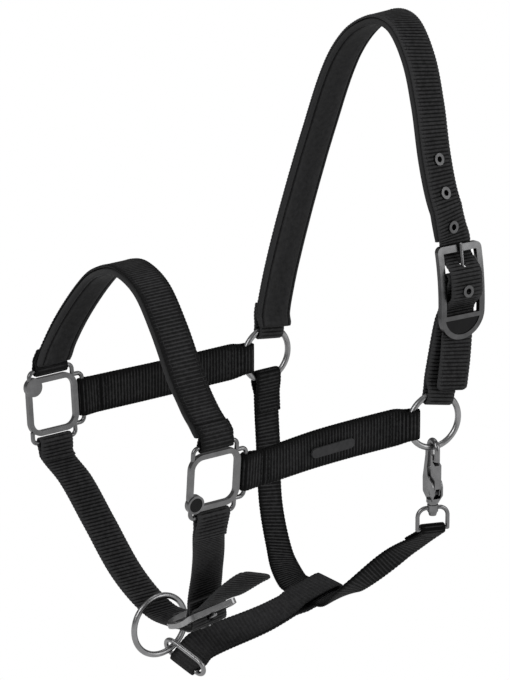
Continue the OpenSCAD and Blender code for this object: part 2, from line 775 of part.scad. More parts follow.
module near_chin_strap() {
    end = spine_end(near_chin_spine);
    color(webbing_black)
        difference() {
            band(near_chin_spine, concat(
                [[9 + outer_turn_back, over, web_w]],
                bar_turn(0, -1, loop_wire / 2, web_w, 9, over, 0),
                stops(12, end - 15, 0, web_w, 16),
                reversed(bar_turn(end, 1, bar_r, web_w, 12, over, 0)),
                [[end - 12 - outer_turn_back, over, web_w]]
            ), web_t);
            on_chin_buckle() tongue_slot();
        }
}

far_chin_lay = concat(
    [[9 + pad_turn_back, inside, web_w]],
    reversed(bar_turn(0, -1, loop_wire / 2, web_w, 9, 0, inside)),
    stops(13, chin_bar_run - heel_len - 4.6, 0, web_w, 26),
    [for (q = [
        [0.4 - heel_len, frame_front(-heel_len) + 1.5], [-33, frame_front(-33) + 1.6],
        [-24, frame_front(-24) + 1.8], [-13, bulge - 1], [-9.5, bulge], [0, bulge], [3.5, bulge - 0.4],
        [6.5, 3.4], [12.2, -3.4], [15.2, crown_low + 0.2], [20, crown_low - 0.3], [26, crown_low - 0.7],
        [36, -8.6], [48, -12], [58, -14.5], [67, -16]
    ]) [chin_bar_run + q[0], q[1], web_w]]
);
chin_eyelet_runs = [chin_bar_run - heel_len - heel_to_eyelet];
module far_chin_strap() {
    color(webbing_black)
        difference() {
            band(far_chin_spine, far_chin_lay, web_t);
            for (s = chin_eyelet_runs)
                at_spot(far_chin_spine, s, 0) cylinder(d = eyelet_bore + 1.6, h = 3 * web_t, center = true);
            on_chin_buckle() {
                prong_hole();
                translate([0, -4.5, bulge])
                    cylinder(d = eyelet_bore + 1.6, h = 3 * web_t, center = true);
            }
        }
}
module chin_eyelets() {
    color(gunmetal) {
        for (s = chin_eyelet_runs)
            at_spot(far_chin_spine, s, -0.65) mirror([0, 0, 1]) eyelet();
        on_chin_buckle() translate([0, -4.5, bulge]) eyelet();
    }
}

// Jaw strap: turns round the link, and its far end is a sewn sleeve for the throat strap

module jaw_strap() {
    end = spine_end(jaw_spine);
    pocket = web_t + web_clear + 1;
    sleeve_from = end - 14 - throat_w / 2 - 2;
    sleeve_to = end - 14 + throat_w / 2 + 2;
    turn = bar_turn(0, -1, link_wire / 2, gathered_w);
    last = len(turn) - 1;
    color(webbing_black)
        band(jaw_spine, concat(
            [[36, half_layer, web_w], [22, half_layer, web_w]],
            [for (i = [0 : last]) [turn[i][0], turn[i][1], i == 0 || i == last ? web_w : gathered_w]],
            stops(22, sleeve_from - 8, -half_layer, web_w, 7),
            [[sleeve_from, -pocket, web_w], [sleeve_to, -pocket, web_w]],
            [for (q = arc([sleeve_to, 0], pocket, -60, 60, 4)) [q[0], q[1], web_w]],
            [[sleeve_to, pocket, web_w], [sleeve_from, pocket, web_w]],
            stops(sleeve_from - 8, 36.6, half_layer, web_w, 6)
        ), web_t);
}

// Throat strap: from the far ring through the sleeve to the bail

module throat_strap() {
    end = spine_end(throat_spine);
    from = cheek_ring_r + ring_wire + ring_lead;
    color(webbing_black)
        band(throat_spine, concat(
            [[from + turn_back, inside, throat_w]],
            reversed(ring_turn(0, -1, cheek_ring_r, throat_w, 0, inside)),
            stops(from + 5, end - 28, 0, throat_w, 43),
            [[end - 16, 0, bail_strap_w]],
            bar_turn(end, 1, bail_wire / 2, bail_strap_w, 12, 0, inside),
            [[end - 12 - turn_back, inside, bail_strap_w]]
        ), web_t);
}

// Rings and link

module wire_ring(bore, wire) {
    rotate_extrude() translate([bore / 2 + wire / 2, 0]) circle(d = wire);
}
module near_ring() {
    color(gunmetal)
        translate(near_ring_at)
            rotate([0, 0, -near_yaw]) rotate([0, 90, 0]) wire_ring(cheek_ring_bore, ring_wire);
}
module far_ring() {
    color(gunmetal)
        translate(far_ring_at) rotate([0, 90, 0]) wire_ring(cheek_ring_bore, ring_wire);
}
module chin_ring() {
    color(gunmetal)
        translate(chin_ring_at) rotate([0, 90, 0]) wire_ring(chin_ring_bore, ring_wire);
}
module jaw_link() {
    color(gunmetal)
        on_buckle(link_at, link_along, link_down, cross(link_along, link_down))
            for (side = [-1, 1]) {
                translate([0, side * link_pitch / 2, 0])
                    rotate([0, 90, 0]) cylinder(d = link_wire, h = link_straight, center = true);
                translate([side * link_straight / 2, 0, 0])
                    rotate([0, 0, -90 * side])
                        rotate_extrude(angle = 180) translate([link_pitch / 2, 0]) circle(d = link_wire);
            }
}

// Squares: cast frame, three strap loops, corner disc with an inlay

module rounded_square(half, r) {
    union() {
        square([2 * (half - r), 2 * half], center = true);
        square([2 * half, 2 * (half - r)], center = true);
        for (x = [-1, 1], y = [-1, 1])
            translate([x * (half - r), y * (half - r)]) circle(r = r);
    }
}
module strap_loop() {
    root = square_half - square_bar / 2 - loop_wire / 2 - 0.05;
    straight = loop_half - loop_corner;
    for (side = [-1, 1]) {
        translate([side * loop_half, root, 0])
            rotate([-90, 0, 0]) cylinder(d = loop_wire, h = loop_at - loop_corner - root);
        translate([side * straight, loop_at - loop_corner, 0])
            rotate([0, 0, side > 0 ? 0 : 90])
                rotate_extrude(angle = 90) translate([loop_corner, 0]) circle(d = loop_wire);
    }
    translate([0, loop_at, 0]) rotate([0, 90, 0]) cylinder(d = loop_wire, h = 2 * straight, center = true);
}
// Seen from outside: x to the back of the head, y up, z outward; disc_up is 1 for the upper corner
disc_at = square_open / 2 - 2;
inlay_depth = 1;
module cast_square(disc_up) {
    difference() {
        union() {
            translate([0, 0, -square_depth / 2])
                linear_extrude(square_depth)
                    difference() {
                        rounded_square(square_half, square_corner + square_bar);
                        rounded_square(square_open / 2, square_corner);
                    }
            strap_loop();
            rotate([0, 0, -90]) strap_loop();
            rotate([0, 0, 180]) strap_loop();
            translate([-disc_at, disc_up * disc_at, -square_depth / 2])
                cylinder(r = disc_r, h = square_depth + 0.6);
        }
        translate([-disc_at, disc_up * disc_at, square_depth / 2 + 0.6 - inlay_depth])
            cylinder(r = disc_inlay_r + 0.15, h = 2 * inlay_depth);
    }
}
module square_inlay(disc_up) {
    translate([-disc_at, disc_up * disc_at, square_depth / 2 + 0.65 - inlay_depth])
        cylinder(r = disc_inlay_r, h = inlay_depth - 0.15);
}
module on_near_square() {
    translate(near_square_at) rotate([0, square_tuck, 0]) rotate([90, 0, 90]) children();
}
module on_far_square() {
    translate(far_square_at) mirror([1, 0, 0]) rotate([0, square_tuck, 0]) rotate([90, 0, 90]) children();
}
module near_square() { color(gunmetal) on_near_square() cast_square(-1); }
module far_square() { color(gunmetal) on_far_square() cast_square(1); }
module near_square_inlay() { color(inlay_black) on_near_square() square_inlay(-1); }
module far_square_inlay() { color(inlay_black) on_far_square() square_inlay(1); }

// Swivel snap. Own axes: x outward to the gate, z up, origin at the middle of the hook's bend

body_top = -17;
pin_x = 3;
pin_z = body_foot + 6;
slot_w = gate_w + 2 * run_clear;
nose_drop = 7;
gate_top = -3.4;
gate_out = hook_inner - run_clear;
gate_thick = 2.6;

// Body of the snap: its front view and its side view, cut from one block
module snap_body() {
    half = snap_depth / 2;
    shell = hook_bend + hook_r - 0.2;
    shank = hook_bend + hook_r + 0.12;
    neck = hook_r + 0.12;
    intersection() {
        rotate([90, 0, 0])
            linear_extrude(2 * snap_depth, center = true)
                polygon([
                    [-shank, 0], [0.12 - hook_inner, 0], [0.12 - hook_inner, body_top + 4],
                    [-1, body_top - 1.5], [hook_bend, body_top - 4], [shell, body_top - 7],
                    [shell, body_foot + 5], [shell - 2.6, body_foot], [2.6 - shell, body_foot],
                    [-shell, body_foot + 5], [-shank, body_top - 3]
                ]);
        rotate([90, 0, 90])
            linear_extrude(4 * shell, center = true)
                polygon([
                    [-neck, 1], [-neck, -6], [-half, body_top - 4], [-half, body_foot + 4],
                    [1.6 - half, body_foot - 1], [half - 1.6, body_foot - 1], [half, body_foot + 4],
                    [half, body_top - 4], [neck, -6], [neck, 1]
                ]);
    }
}
module snap_hook() {
    color(gunmetal)
        translate(hook_at) rotate([0, 0, snap_yaw])
            difference() {
                union() {
                    rotate([90, 0, 0])
                        rotate_extrude(angle = 180) translate([hook_bend, 0]) circle(r = hook_r);
                    translate([hook_bend, 0, -nose_drop]) cylinder(r = hook_r, h = nose_drop);
                    snap_body();
                    translate([0, 0, body_foot - collar_h]) cylinder(r = boss_r - 0.6, h = collar_h + 1);
                    translate([0, 0, body_foot - collar_h / 2])
                        cylinder(r = boss_r + 0.6, h = collar_h / 2 + 1);
                }
                translate([-1.6, -slot_w / 2, body_foot + 2.2])
                    cube([20, slot_w, body_top - body_foot - 1.2]);
                translate([pin_x, 0, pin_z])
                    rotate([90, 0, 0]) cylinder(r = gate_pin_r + 0.05, h = 40, center = true);
                translate([0, 0, body_foot - 2 * collar_h])
                    cylinder(r = shank_r + 0.05, h = 2 * collar_h + 1.6);
            }
}

// Gate: lever with a forked foot on the pin, tip behind the nose of the hook
module snap_gate() {
    foot_r = 3.2;
    fork_gap = 2.8;
    color(gunmetal)
        translate(hook_at) rotate([0, 0, snap_yaw])
            difference() {
                union() {
                    translate([pin_x, 0, pin_z])
                        rotate([90, 0, 0]) cylinder(r = foot_r, h = gate_w, center = true);
                    rotate([90, 0, 0])
                        linear_extrude(gate_w, center = true)
                            polygon([
                                [pin_x - 1.4, pin_z - 0.5], [gate_out - gate_thick, gate_top],
                                [gate_out, gate_top], [gate_out, -nose_drop - 0.5],
                                [hook_bend + hook_r, -nose_drop - 2.2], [hook_bend + hook_r, pin_z + 4],
                                [pin_x + foot_r - 0.6, pin_z - 0.5]
                            ]);
                }
                translate([pin_x, 0, pin_z])
                    rotate([90, 0, 0]) cylinder(r = gate_pin_r + run_clear, h = 40, center = true);
                translate([pin_x - 8, -fork_gap / 2, pin_z - 8]) cube([16, fork_gap, 8 + 3.4]);
            }
}
module snap_gate_pin() {
    color(gunmetal)
        translate(hook_at) rotate([0, 0, snap_yaw]) translate([pin_x, 0, pin_z])
            rotate([90, 0, 0]) cylinder(r = gate_pin_r, h = snap_depth - 0.4, center = true);
}

// Torsion spring round the gate pin, between the cheeks of the gate's fork
spring_wire = 0.5;
spring_r = gate_pin_r + 0.3 + spring_wire / 2;
spring_pitch = 0.95;
spring_turns = 2;
module snap_spring() {
    rings = 8 * spring_turns;
    sides = 6;
    centre = [for (i = [0 : rings])
        let (a = 360 * spring_turns * i / rings)
        [spring_r * cos(a), spring_pitch * spring_turns * (i / rings - 0.5), spring_r * sin(a)]];
    points = [for (i = [0 : rings])
        let (a = 360 * spring_turns * i / rings, out = [cos(a), 0, sin(a)])
        for (k = [0 : sides - 1])
            centre[i] + spring_wire / 2 * (cos(360 * k / sides) * out + sin(360 * k / sides) * Y_AXIS)];
    faces = concat(
        [for (k = [1 : sides - 2]) [0, k, k + 1]],
        [for (k = [1 : sides - 2]) [rings * sides, rings * sides + k + 1, rings * sides + k]],
        [for (i = [0 : rings - 1], k = [0 : sides - 1])
            let (a = i * sides + k, b = i * sides + (k + 1) % sides)
            for (f = [[a, b + sides, b], [a, a + sides, b + sides]]) f]
    );
    color(gunmetal)
        translate(hook_at) rotate([0, 0, snap_yaw]) translate([pin_x, 0, pin_z])
            polyhedron(points, faces, convexity = 6);
}

module snap_swivel() {
    top = body_foot + 1.4;
    bottom = boss_top - boss_h - run_clear;
    color(gunmetal)
        translate(hook_at) {
            translate([0, 0, bottom]) cylinder(r = shank_r, h = top - bottom);
            translate([0, 0, bottom - head_h]) cylinder(r1 = shank_r + 0.6, r2 = shank_r + 1.4, h = head_h);
        }
}

// Bail: boss round the shank, two shoulders, legs, and a bar for the throat strap
module snap_bail() {
    shoulder = 6;
    mid = boss_top - boss_h / 2;
    color(gunmetal)
        translate(hook_at)
            difference() {
                union() {
                    translate([0, 0, boss_top - boss_h]) cylinder(r = boss_r, h = boss_h);
                    rotate([0, 0, -bail_yaw]) for (side = [-1, 1]) {
                        translate([0, side * (bail_half - shoulder), mid])
                            rotate([side * 90, 0, 0]) cylinder(d = bail_wire, h = bail_half - shoulder);
                        translate([0, side * (bail_half - shoulder), mid - shoulder])
                            rotate([90, 0, 90])
                                rotate([0, 0, side > 0 ? 0 : 90])
                                    rotate_extrude(angle = 90)
                                        translate([shoulder, 0]) circle(d = bail_wire);
                        translate([0, side * bail_half, mid - bail_drop])
                            cylinder(d = bail_wire, h = bail_drop - shoulder);
                        translate([0, side * bail_half, mid - bail_drop]) sphere(d = bail_wire);
                    }
                    rotate([0, 0, -bail_yaw]) translate([0, 0, mid - bail_drop])
                        rotate([90, 0, 0]) cylinder(d = bail_wire, h = 2 * bail_half, center = true);
                }
                cylinder(r = shank_r + run_clear, h = 200, center = true);
            }
}

crown_webbing();
crown_padding();
crown_chape();
crown_eyelets();
crown_buckle_frame();
crown_buckle_tongue();
crown_buckle_inlay();
noseband_webbing();
noseband_padding();
near_cheek_strap();
far_cheek_strap();
cheek_badge();
near_chin_strap();
far_chin_strap();
chin_eyelets();
chin_buckle_frame();
chin_buckle_tongue();
chin_buckle_inlay();
jaw_strap();
throat_strap();
near_ring();
far_ring();
chin_ring();
jaw_link();
near_square();
far_square();
near_square_inlay();
far_square_inlay();
snap_hook();
snap_gate();
snap_gate_pin();
snap_spring();
snap_swivel();
snap_bail();
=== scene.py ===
import math

import bpy
import numpy as np
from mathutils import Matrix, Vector


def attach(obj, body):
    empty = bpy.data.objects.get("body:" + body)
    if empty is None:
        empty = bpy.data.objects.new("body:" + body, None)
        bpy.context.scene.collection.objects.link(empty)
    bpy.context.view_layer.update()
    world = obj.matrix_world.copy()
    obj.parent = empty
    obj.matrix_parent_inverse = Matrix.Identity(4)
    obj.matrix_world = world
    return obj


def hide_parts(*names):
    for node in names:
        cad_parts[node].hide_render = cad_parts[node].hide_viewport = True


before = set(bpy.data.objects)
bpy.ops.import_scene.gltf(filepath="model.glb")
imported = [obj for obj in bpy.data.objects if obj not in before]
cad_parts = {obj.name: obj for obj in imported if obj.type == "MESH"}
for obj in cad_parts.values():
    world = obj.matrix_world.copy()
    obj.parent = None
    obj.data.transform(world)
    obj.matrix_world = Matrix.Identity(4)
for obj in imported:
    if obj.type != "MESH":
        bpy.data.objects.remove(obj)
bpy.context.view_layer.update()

# STEP is the distance between the rings of a strap's mesh, in millimetres

MM = 0.001
STEP = 0.42
X, Y, Z = np.eye(3)

# Sizes of the part's source, in millimetres and radians. A mesh is scaled to metres when it is made

WEB_W, WEB_T, THROAT_W, GATHERED_W, BAIL_STRAP = 25.0, 2.0, 20.0, 20.0, 16.5
LAYER_GAP, WEB_CLEAR = 0.2, 0.3
TURN_BACK, PAD_TURN_BACK, OUTER_TURN_BACK, RING_LEAD = 14.0, 4.0, 8.0, 7.0
PAD_W, PAD_T = 26.5, 4.5
SIDE_X, RING_DROP, HANG_SKEW, RING_FORWARD = 92.0, 242.2, 6.0, 31.0
CHEEK_LEN, NOSE_RISE, ARCH_DROP = 175.0, 123.0, 246.7
NEAR_YAW, SQUARE_TUCK, LINK_HANG, BAIL_YAW = (math.radians(a) for a in (7.5, 5, 31.5, 20))
RING_WIRE, CHEEK_RING_R, CHIN_RING_R, LINK_WIRE, BAIL_WIRE = 4.0, 16.25, 18.5, 3.2, 2.8
SQUARE_HALF, LOOP_SLOT, LOOP_WIRE = 19.5, 3.2, 2.9
BAR_R, BUCKLE_BOW, BUCKLE_DEPTH, BOW_AT = 1.7, 160.0, 3.4, -10.0
TOE_LEN, HEEL_LEN, LOWER_AT = 21.2, 41.4, 26.0
EYELETS_FROM, EYELET_PITCH, HEEL_TO_EYELET = 12.0, 22.0, 6.6
LOOP_AT = SQUARE_HALF + LOOP_SLOT + LOOP_WIRE / 2
FOLD_END = CHEEK_RING_R + RING_WIRE + RING_LEAD
OVER = WEB_T + LAYER_GAP
INSIDE = -OVER
HALF_LAYER = OVER / 2


def vec(*v):
    return np.array(v, float)


def unit(v):
    v = np.asarray(v, float)
    return v / np.linalg.norm(v, axis=-1, keepdims=True)


def square_to(v, axis):
    v = np.asarray(v, float)
    return unit(v - np.sum(v * axis, axis=-1, keepdims=True) * axis)


def softened(a, sigma):
    """A list of rows, smoothed along its length with both ends kept."""
    k = max(1, min(int(3 * sigma) + 1, len(a) - 1))
    w = np.exp(-0.5 * (np.arange(-k, k + 1) / sigma) ** 2)
    w /= w.sum()
    full = np.concatenate([2 * a[0] - a[k:0:-1], a, 2 * a[-1] - a[-2:-k - 2:-1]])
    return np.stack([np.convolve(full[:, c], w, "valid") for c in range(a.shape[1])], axis=1)


class Spine:
    """The line that a strap follows, with its width direction and its outward side.

    A slanted strap keeps its ribs in the width direction where the line leans, as woven cloth does.
    """

    PARTS, EVERY, SOFT_TURN, SOFT_WIDTH = 32, 0.5, 6, 8

    def __init__(self, points, widths, slanted=False):
        p, w = np.array(points, float), np.array(widths, float)
        last = len(p) - 1
        gap = np.linalg.norm(np.diff(p, axis=0), axis=1)
        head = []
        for i in range(last + 1):
            a, c = max(i - 1, 0), min(i + 1, last)
            head.append((p[c] - p[a]) / gap[a:c].sum())
        u = np.linspace(0, 1, self.PARTS + 1)[:-1, None]
        rows, across = [], []
        for i in range(last):
            rows.append(
                (2 * u**3 - 3 * u**2 + 1) * p[i] + (u**3 - 2 * u**2 + u) * gap[i] * head[i]
                + (3 * u**2 - 2 * u**3) * p[i + 1] + (u**3 - u**2) * gap[i] * head[i + 1]
            )
            across.append(w[i] + u * (w[i + 1] - w[i]))
        q = np.concatenate(rows + [p[-1:]])
        v = np.concatenate(across + [w[-1:]])
        run = np.concatenate([[0], np.cumsum(np.linalg.norm(np.diff(q, axis=0), axis=1))])
        self.end = run[-1]
        self.s = np.linspace(0, self.end, int(self.end / self.EVERY) + 1)
        self.p = self._even(run, q)
        self.t = unit(softened(np.gradient(self.p, axis=0), self.SOFT_TURN))
        self.slanted = slanted
        self.w = self._width(softened(self._even(run, v), self.SOFT_WIDTH), self.t)

    def _width(self, w, t):
        return unit(w) if self.slanted else square_to(w, t)

    def _even(self, run, a):
        return np.stack([np.interp(self.s, run, a[:, c]) for c in range(3)], axis=1)

    def _pick(self, s, a):
        return np.stack([np.interp(s, self.s, a[:, c]) for c in range(3)], axis=-1)

    def at(self, s):
        """Point, along, width and outward directions at the runs s."""
        s = np.asarray(s, float)
        t = unit(self._pick(s, self.t))
        w = self._width(self._pick(s, self.w), t)
        p = self._pick(s, self.p) + (s - np.clip(s, 0, self.end))[..., None] * t
        return p, t, w, unit(np.cross(t, w))

    def nearest(self, point):
        return self.s[np.argmin(np.linalg.norm(self.p - point, axis=1))]


# Where the fittings are

near_ring = vec(SIDE_X, -RING_FORWARD, -RING_DROP)
far_ring = vec(-SIDE_X, -RING_FORWARD, -RING_DROP - HANG_SKEW)
near_square = near_ring + vec(0, -CHEEK_LEN, -2)
far_square = far_ring + vec(0, -CHEEK_LEN + 1.5, 0.5)
ring_back = vec(math.sin(NEAR_YAW), math.cos(NEAR_YAW), 0)
near_up = vec(math.sin(SQUARE_TUCK), 0, math.cos(SQUARE_TUCK))
far_up = near_up * (-1, 1, 1)

crown_bar = near_ring + vec(6.2, 16, 96.3)
crown_toe = unit(vec(-0.1, 0.03, 0.995))
crown_across = square_to(Y, crown_toe)
crown_out = np.cross(crown_across, crown_toe)
chin_mid = vec(0, far_square[1], far_square[2])
chin_bar = chin_mid + vec(32.3, 33.7, -116.6)
chin_toe = unit(vec(0.879, -0.242, 0.411))
chin_across = square_to(vec(0.16, 0.961, 0.224), chin_toe)
chin_out = np.cross(chin_across, chin_toe)
chin_dip = chin_mid + vec(-30, 41.5, -135)
chin_ring = chin_dip - vec(0, 0, math.sqrt((CHIN_RING_R - WEB_CLEAR) ** 2 - WEB_W**2 / 4) - WEB_T - 0.4)
link_on = chin_ring + (CHIN_RING_R + RING_WIRE / 2) * vec(0, math.sin(LINK_HANG), -math.cos(LINK_HANG))
link_along = unit(vec(0.9, 0.25, -0.36))
link_down = square_to(vec(-0.43, 0.18, -0.88), link_along)
link_rail = link_on + 8 * link_down + 11 * link_along
sleeve = vec(0, far_square[1] + 145, far_square[2] - 137)
sleeve_along = unit(vec(0.12, 0.93, 0.3))
sleeve_across = unit(vec(0, sleeve_along[1], sleeve_along[2]))
bail_bar = near_ring + vec(0, 0, -74.85)
bail_across = vec(math.sin(BAIL_YAW), math.cos(BAIL_YAW), 0)

# Spines, on given points

ARCH = (
    (-0.98, -20, -192), (-0.93, -10, -147), (-0.79, -4, -98), (-0.5, -5, -42), (-0.26, -5, -14.5),
    (0, -4, 0), (0.3, -8, 0), (0.54, -12, -18), (0.7, -15.5, -45), (0.83, -18.5, -79), (0.93, -18, -106),
)
arch_base = PAD_T + LAYER_GAP + WEB_T / 2
crown_spine = Spine(
    [far_ring + 17 * k * unit(vec(0, 4, 28)) for k in range(3)]
    + [vec(x * SIDE_X, y, z * RING_DROP / ARCH_DROP + arch_base) for x, y, z in ARCH]
    + [crown_bar + y * crown_toe for y in (26, 13, 0, -13, -26, -41)] + [crown_bar + vec(6, -7.5, -76)],
    [Y] * 8 + [unit(vec(-0.15, 0.985, 0))] * 6 + [crown_across] * 7,
)
chape_spine = Spine(
    [near_ring, near_ring + 3 * ring_back + 16 * Z, near_ring + 6 * ring_back + 32 * Z,
     crown_bar - 31 * crown_toe - 9.9 * crown_out - vec(0, 2, 0),
     crown_bar - 22 * crown_toe - 7.7 * crown_out, crown_bar - 11 * crown_toe - 3.7 * crown_out, crown_bar],
    [ring_back] * 3 + [crown_across] * 4,
)
NOSE = (
    (-0.92, 10, 0.5), (-0.62, 12, 0.77), (-0.24, 2, 0.93), (0.09, -5, 1), (0.42, -10, 0.96),
    (0.71, -15, 0.81), (0.935, -15.5, 0.57), (0.962, -7.8, 0.41),
)
nose_points = (
    [far_square + LOOP_AT * far_up + s * unit(vec(0.1, 0, 1)) for s in (0, 4, 8)]
    + [vec(x * SIDE_X, far_square[1] + y, far_square[2] + z * NOSE_RISE) for x, y, z in NOSE]
    + [near_square + LOOP_AT * near_up + s * unit(vec(-0.1, 0, 1)) for s in (8, 4, 0)]
)
nose_spine = Spine(nose_points, [Y] * len(nose_points), slanted=True)
near_cheek_spine = Spine(
    [near_ring, near_ring - 16 * ring_back, near_ring - 32 * ring_back, near_ring - 90 * Y - 2.5 * X,
     near_square + (LOOP_AT + 14) * Y, near_square + LOOP_AT * Y],
    [-Z] * 4 + [-near_up] * 2,
)
far_cheek_spine = Spine(
    [far_ring, far_ring - 16 * Y, far_ring - 32 * Y, far_ring - 90 * Y, far_square + (LOOP_AT + 14) * Y,
     far_square + LOOP_AT * Y],
    [-Z] * 4 + [-far_up] * 2,
)
near_from = near_square - LOOP_AT * near_up
chin_pull = unit(0.74 * chin_toe - 0.67 * chin_out)
near_chin_spine = Spine(
    [near_from + s * unit(vec(-0.25, 0, -1)) for s in (0, 6, 13)]
    + [near_from + vec(-21, 12.4, -36), near_from + vec(-41.5, 25.5, -60)]
    + [chin_bar + s * chin_pull for s in (18, 9, 0)],
    [Y] * 5 + [chin_across] * 3,
    slanted=True,
)
far_from = far_square - LOOP_AT * far_up
far_chin_spine = Spine(
    [far_from + s * unit(vec(0.15, 0, -1)) for s in (0, 5, 10)]
    + [far_from + vec(6.5, 12, -29), far_from + vec(17, 23, -58), chin_mid + vec(-52, 32, -115), chin_dip]
    + [chin_bar + y * chin_toe for y in (-41, -26, -13, 0, 13)]
    + [chin_bar + 26 * chin_toe + vec(0, 1, 0), chin_bar + 44 * chin_toe + vec(0, 6, 1),
       chin_bar + 68 * chin_toe + vec(0, 20, 4)],
    [-Y] * 7 + [-chin_across] * 6 + [unit(vec(-0.07, -0.95, 0.17)), unit(vec(-0.12, -0.93, 0.3))],
    slanted=True,
)
jaw_start = square_to(unit(sleeve - link_rail), link_along)
jaw_spine = Spine(
    [link_rail + s * jaw_start for s in (0, 8, 18)] + [sleeve + s * sleeve_along for s in (-40, -14, 0, 14)],
    [link_along, link_along, unit(vec(0.93, -0.05, -0.37)), unit(vec(0.94, -0.24, -0.25)),
     unit(vec(1, -0.12, -0.05)), X, X],
    slanted=True,
)
bail_pull = square_to(sleeve - bail_bar, bail_across)
throat_spine = Spine(
    [far_ring, far_ring + vec(0, 0, -16), far_ring + vec(0, 0, -32), far_ring + vec(4, -1, -66),
     far_ring + vec(14, -6, -103), far_ring + vec(36, -14, -130), sleeve + vec(-26, 2, -0.5),
     sleeve + vec(-13, 0, 0), sleeve + vec(13, 0, 0), sleeve + vec(28, -2, 5), sleeve + vec(48, -3, 19),
     bail_bar + vec(-27, -6, -24), bail_bar + 12 * bail_pull, bail_bar + 6 * bail_pull, bail_bar],
    [-Y] * 4 + [vec(0.1, -0.99, 0)] * 2 + [-sleeve_across] * 4
    + [vec(0.05, -0.93, 0.35), vec(-0.2, -0.94, 0.15)] + [-bail_across] * 3,
)

# Strap paths on a spine: rows of run, outward offset, width


class Lay:
    """A strap's path on its spine, evenly sampled, with the frame of its section at each sample."""

    SOFT_BEND, SOFT_TAPER = 0.9, 2

    def __init__(self, spine, rows):
        q = np.array(rows, float)
        u = np.concatenate([[0], np.cumsum(np.hypot(*np.diff(q[:, :2], axis=0).T))])
        self.length = u[-1]
        self.u = np.linspace(0, self.length, int(self.length / STEP) + 1)
        q = np.stack([np.interp(self.u, u, q[:, c]) for c in range(3)], axis=1)
        step = self.u[1]
        bent, tapered = softened(q[:, :2], self.SOFT_BEND / step), softened(q[:, 2:], self.SOFT_TAPER / step)
        q = np.concatenate([bent, tapered], axis=1)
        d = np.gradient(q[:, :2], axis=0)
        d /= np.linalg.norm(d, axis=1, keepdims=True)
        p, t, w, n = spine.at(q[:, 0])
        self.mid = p + q[:, 1:2] * n
        self.up = d[:, :1] * n - d[:, 1:] * t
        self.across = w
        self.width = q[:, 2]
        self.run = q[:, 0]

    def at_run(self, s):
        """Path length at which the strap's main layer passes a run."""
        main = slice(int(np.argmin(self.run[:len(self.run) // 2])) + 1, int(np.argmax(self.run)) + 1)
        return float(np.interp(s, self.run[main], self.u[main]))

    def _pick(self, u, a):
        return np.stack([np.interp(u, self.u, a[:, c]) for c in range(3)], axis=-1)

    def place(self, u, side=0.0, up=0.0):
        """Points of the path at the lengths u, moved sideways and up."""
        u = np.asarray(u, float)
        sideways = np.asarray(side)[..., None] * self._pick(u, self.across)
        return self._pick(u, self.mid) + sideways + np.asarray(up)[..., None] * self._pick(u, self.up)

    def swept(self, x, y):
        """Corners of a section with the sides x and heights y at each sample."""
        return self.mid[:, None] + x[..., None] * self.across[:, None] + y[..., None] * self.up[:, None]


def rows(s0, way, pairs, w=WEB_W):
    """Rows of a path, from pairs of a distance from the run s0 and an outward offset."""
    return [[s0 + way * a, b, w] for a, b in pairs]


def half_turn(r, n=10):
    """Points of a half circle, from its outer end to its inner end."""
    a = np.radians(np.linspace(90, -90, n + 1))
    return np.stack([r * np.cos(a), r * np.sin(a)], axis=1)


def bar_turn(s0, way, bar_r, w, lead=9, outer=HALF_LAYER, inner=-HALF_LAYER):
    """A fold round a bar at the run s0."""
    r = bar_r + WEB_CLEAR + WEB_T / 2
    return [[s0 - way * lead, outer, w]] + rows(s0, way, half_turn(r), w) + [[s0 - way * lead, inner, w]]


def ring_turn(s0, way, w=WEB_W, outer=HALF_LAYER, inner=-HALF_LAYER):
    """A fold round the wire of the cheek ring at the run s0, where the strap is gathered."""
    hollow = RING_WIRE / 2 + WEB_CLEAR
    r, narrow = hollow + WEB_T / 2, min(w, GATHERED_W)
    seat = math.sqrt(CHEEK_RING_R**2 - narrow**2 / 4) - WEB_CLEAR + hollow
    clear = CHEEK_RING_R + RING_WIRE
    return ([[s0 - way * (clear + RING_LEAD), outer, w], [s0 - way * clear, r, narrow]]
            + rows(s0 - way * seat, way, half_turn(r), narrow)
            + [[s0 - way * clear, -r, narrow], [s0 - way * (clear + RING_LEAD), inner, w]])


def doubled(first, second, overlap):
    """A closed band through two folds, whose ends meet on the outside."""
    a, b = first[0][0], second[0][0]
    join = a + overlap
    return ([[join, HALF_LAYER, WEB_W], [a + 2, HALF_LAYER, WEB_W]] + first
            + [[(a + b) / 2, -HALF_LAYER, WEB_W]] + second[::-1]
            + [[b - 2, HALF_LAYER, WEB_W], [join + 0.1, HALF_LAYER, WEB_W]])


def bow(y):
    """Height of a buckle frame's middle at the distance y from its centre bar."""
    return math.sqrt(BUCKLE_BOW**2 - (y - BOW_AT) ** 2) - BUCKLE_BOW


def frame_front(y):
    return bow(y) + BUCKLE_DEPTH / 2


def frame_back(y):
    return bow(y) - BUCKLE_DEPTH / 2


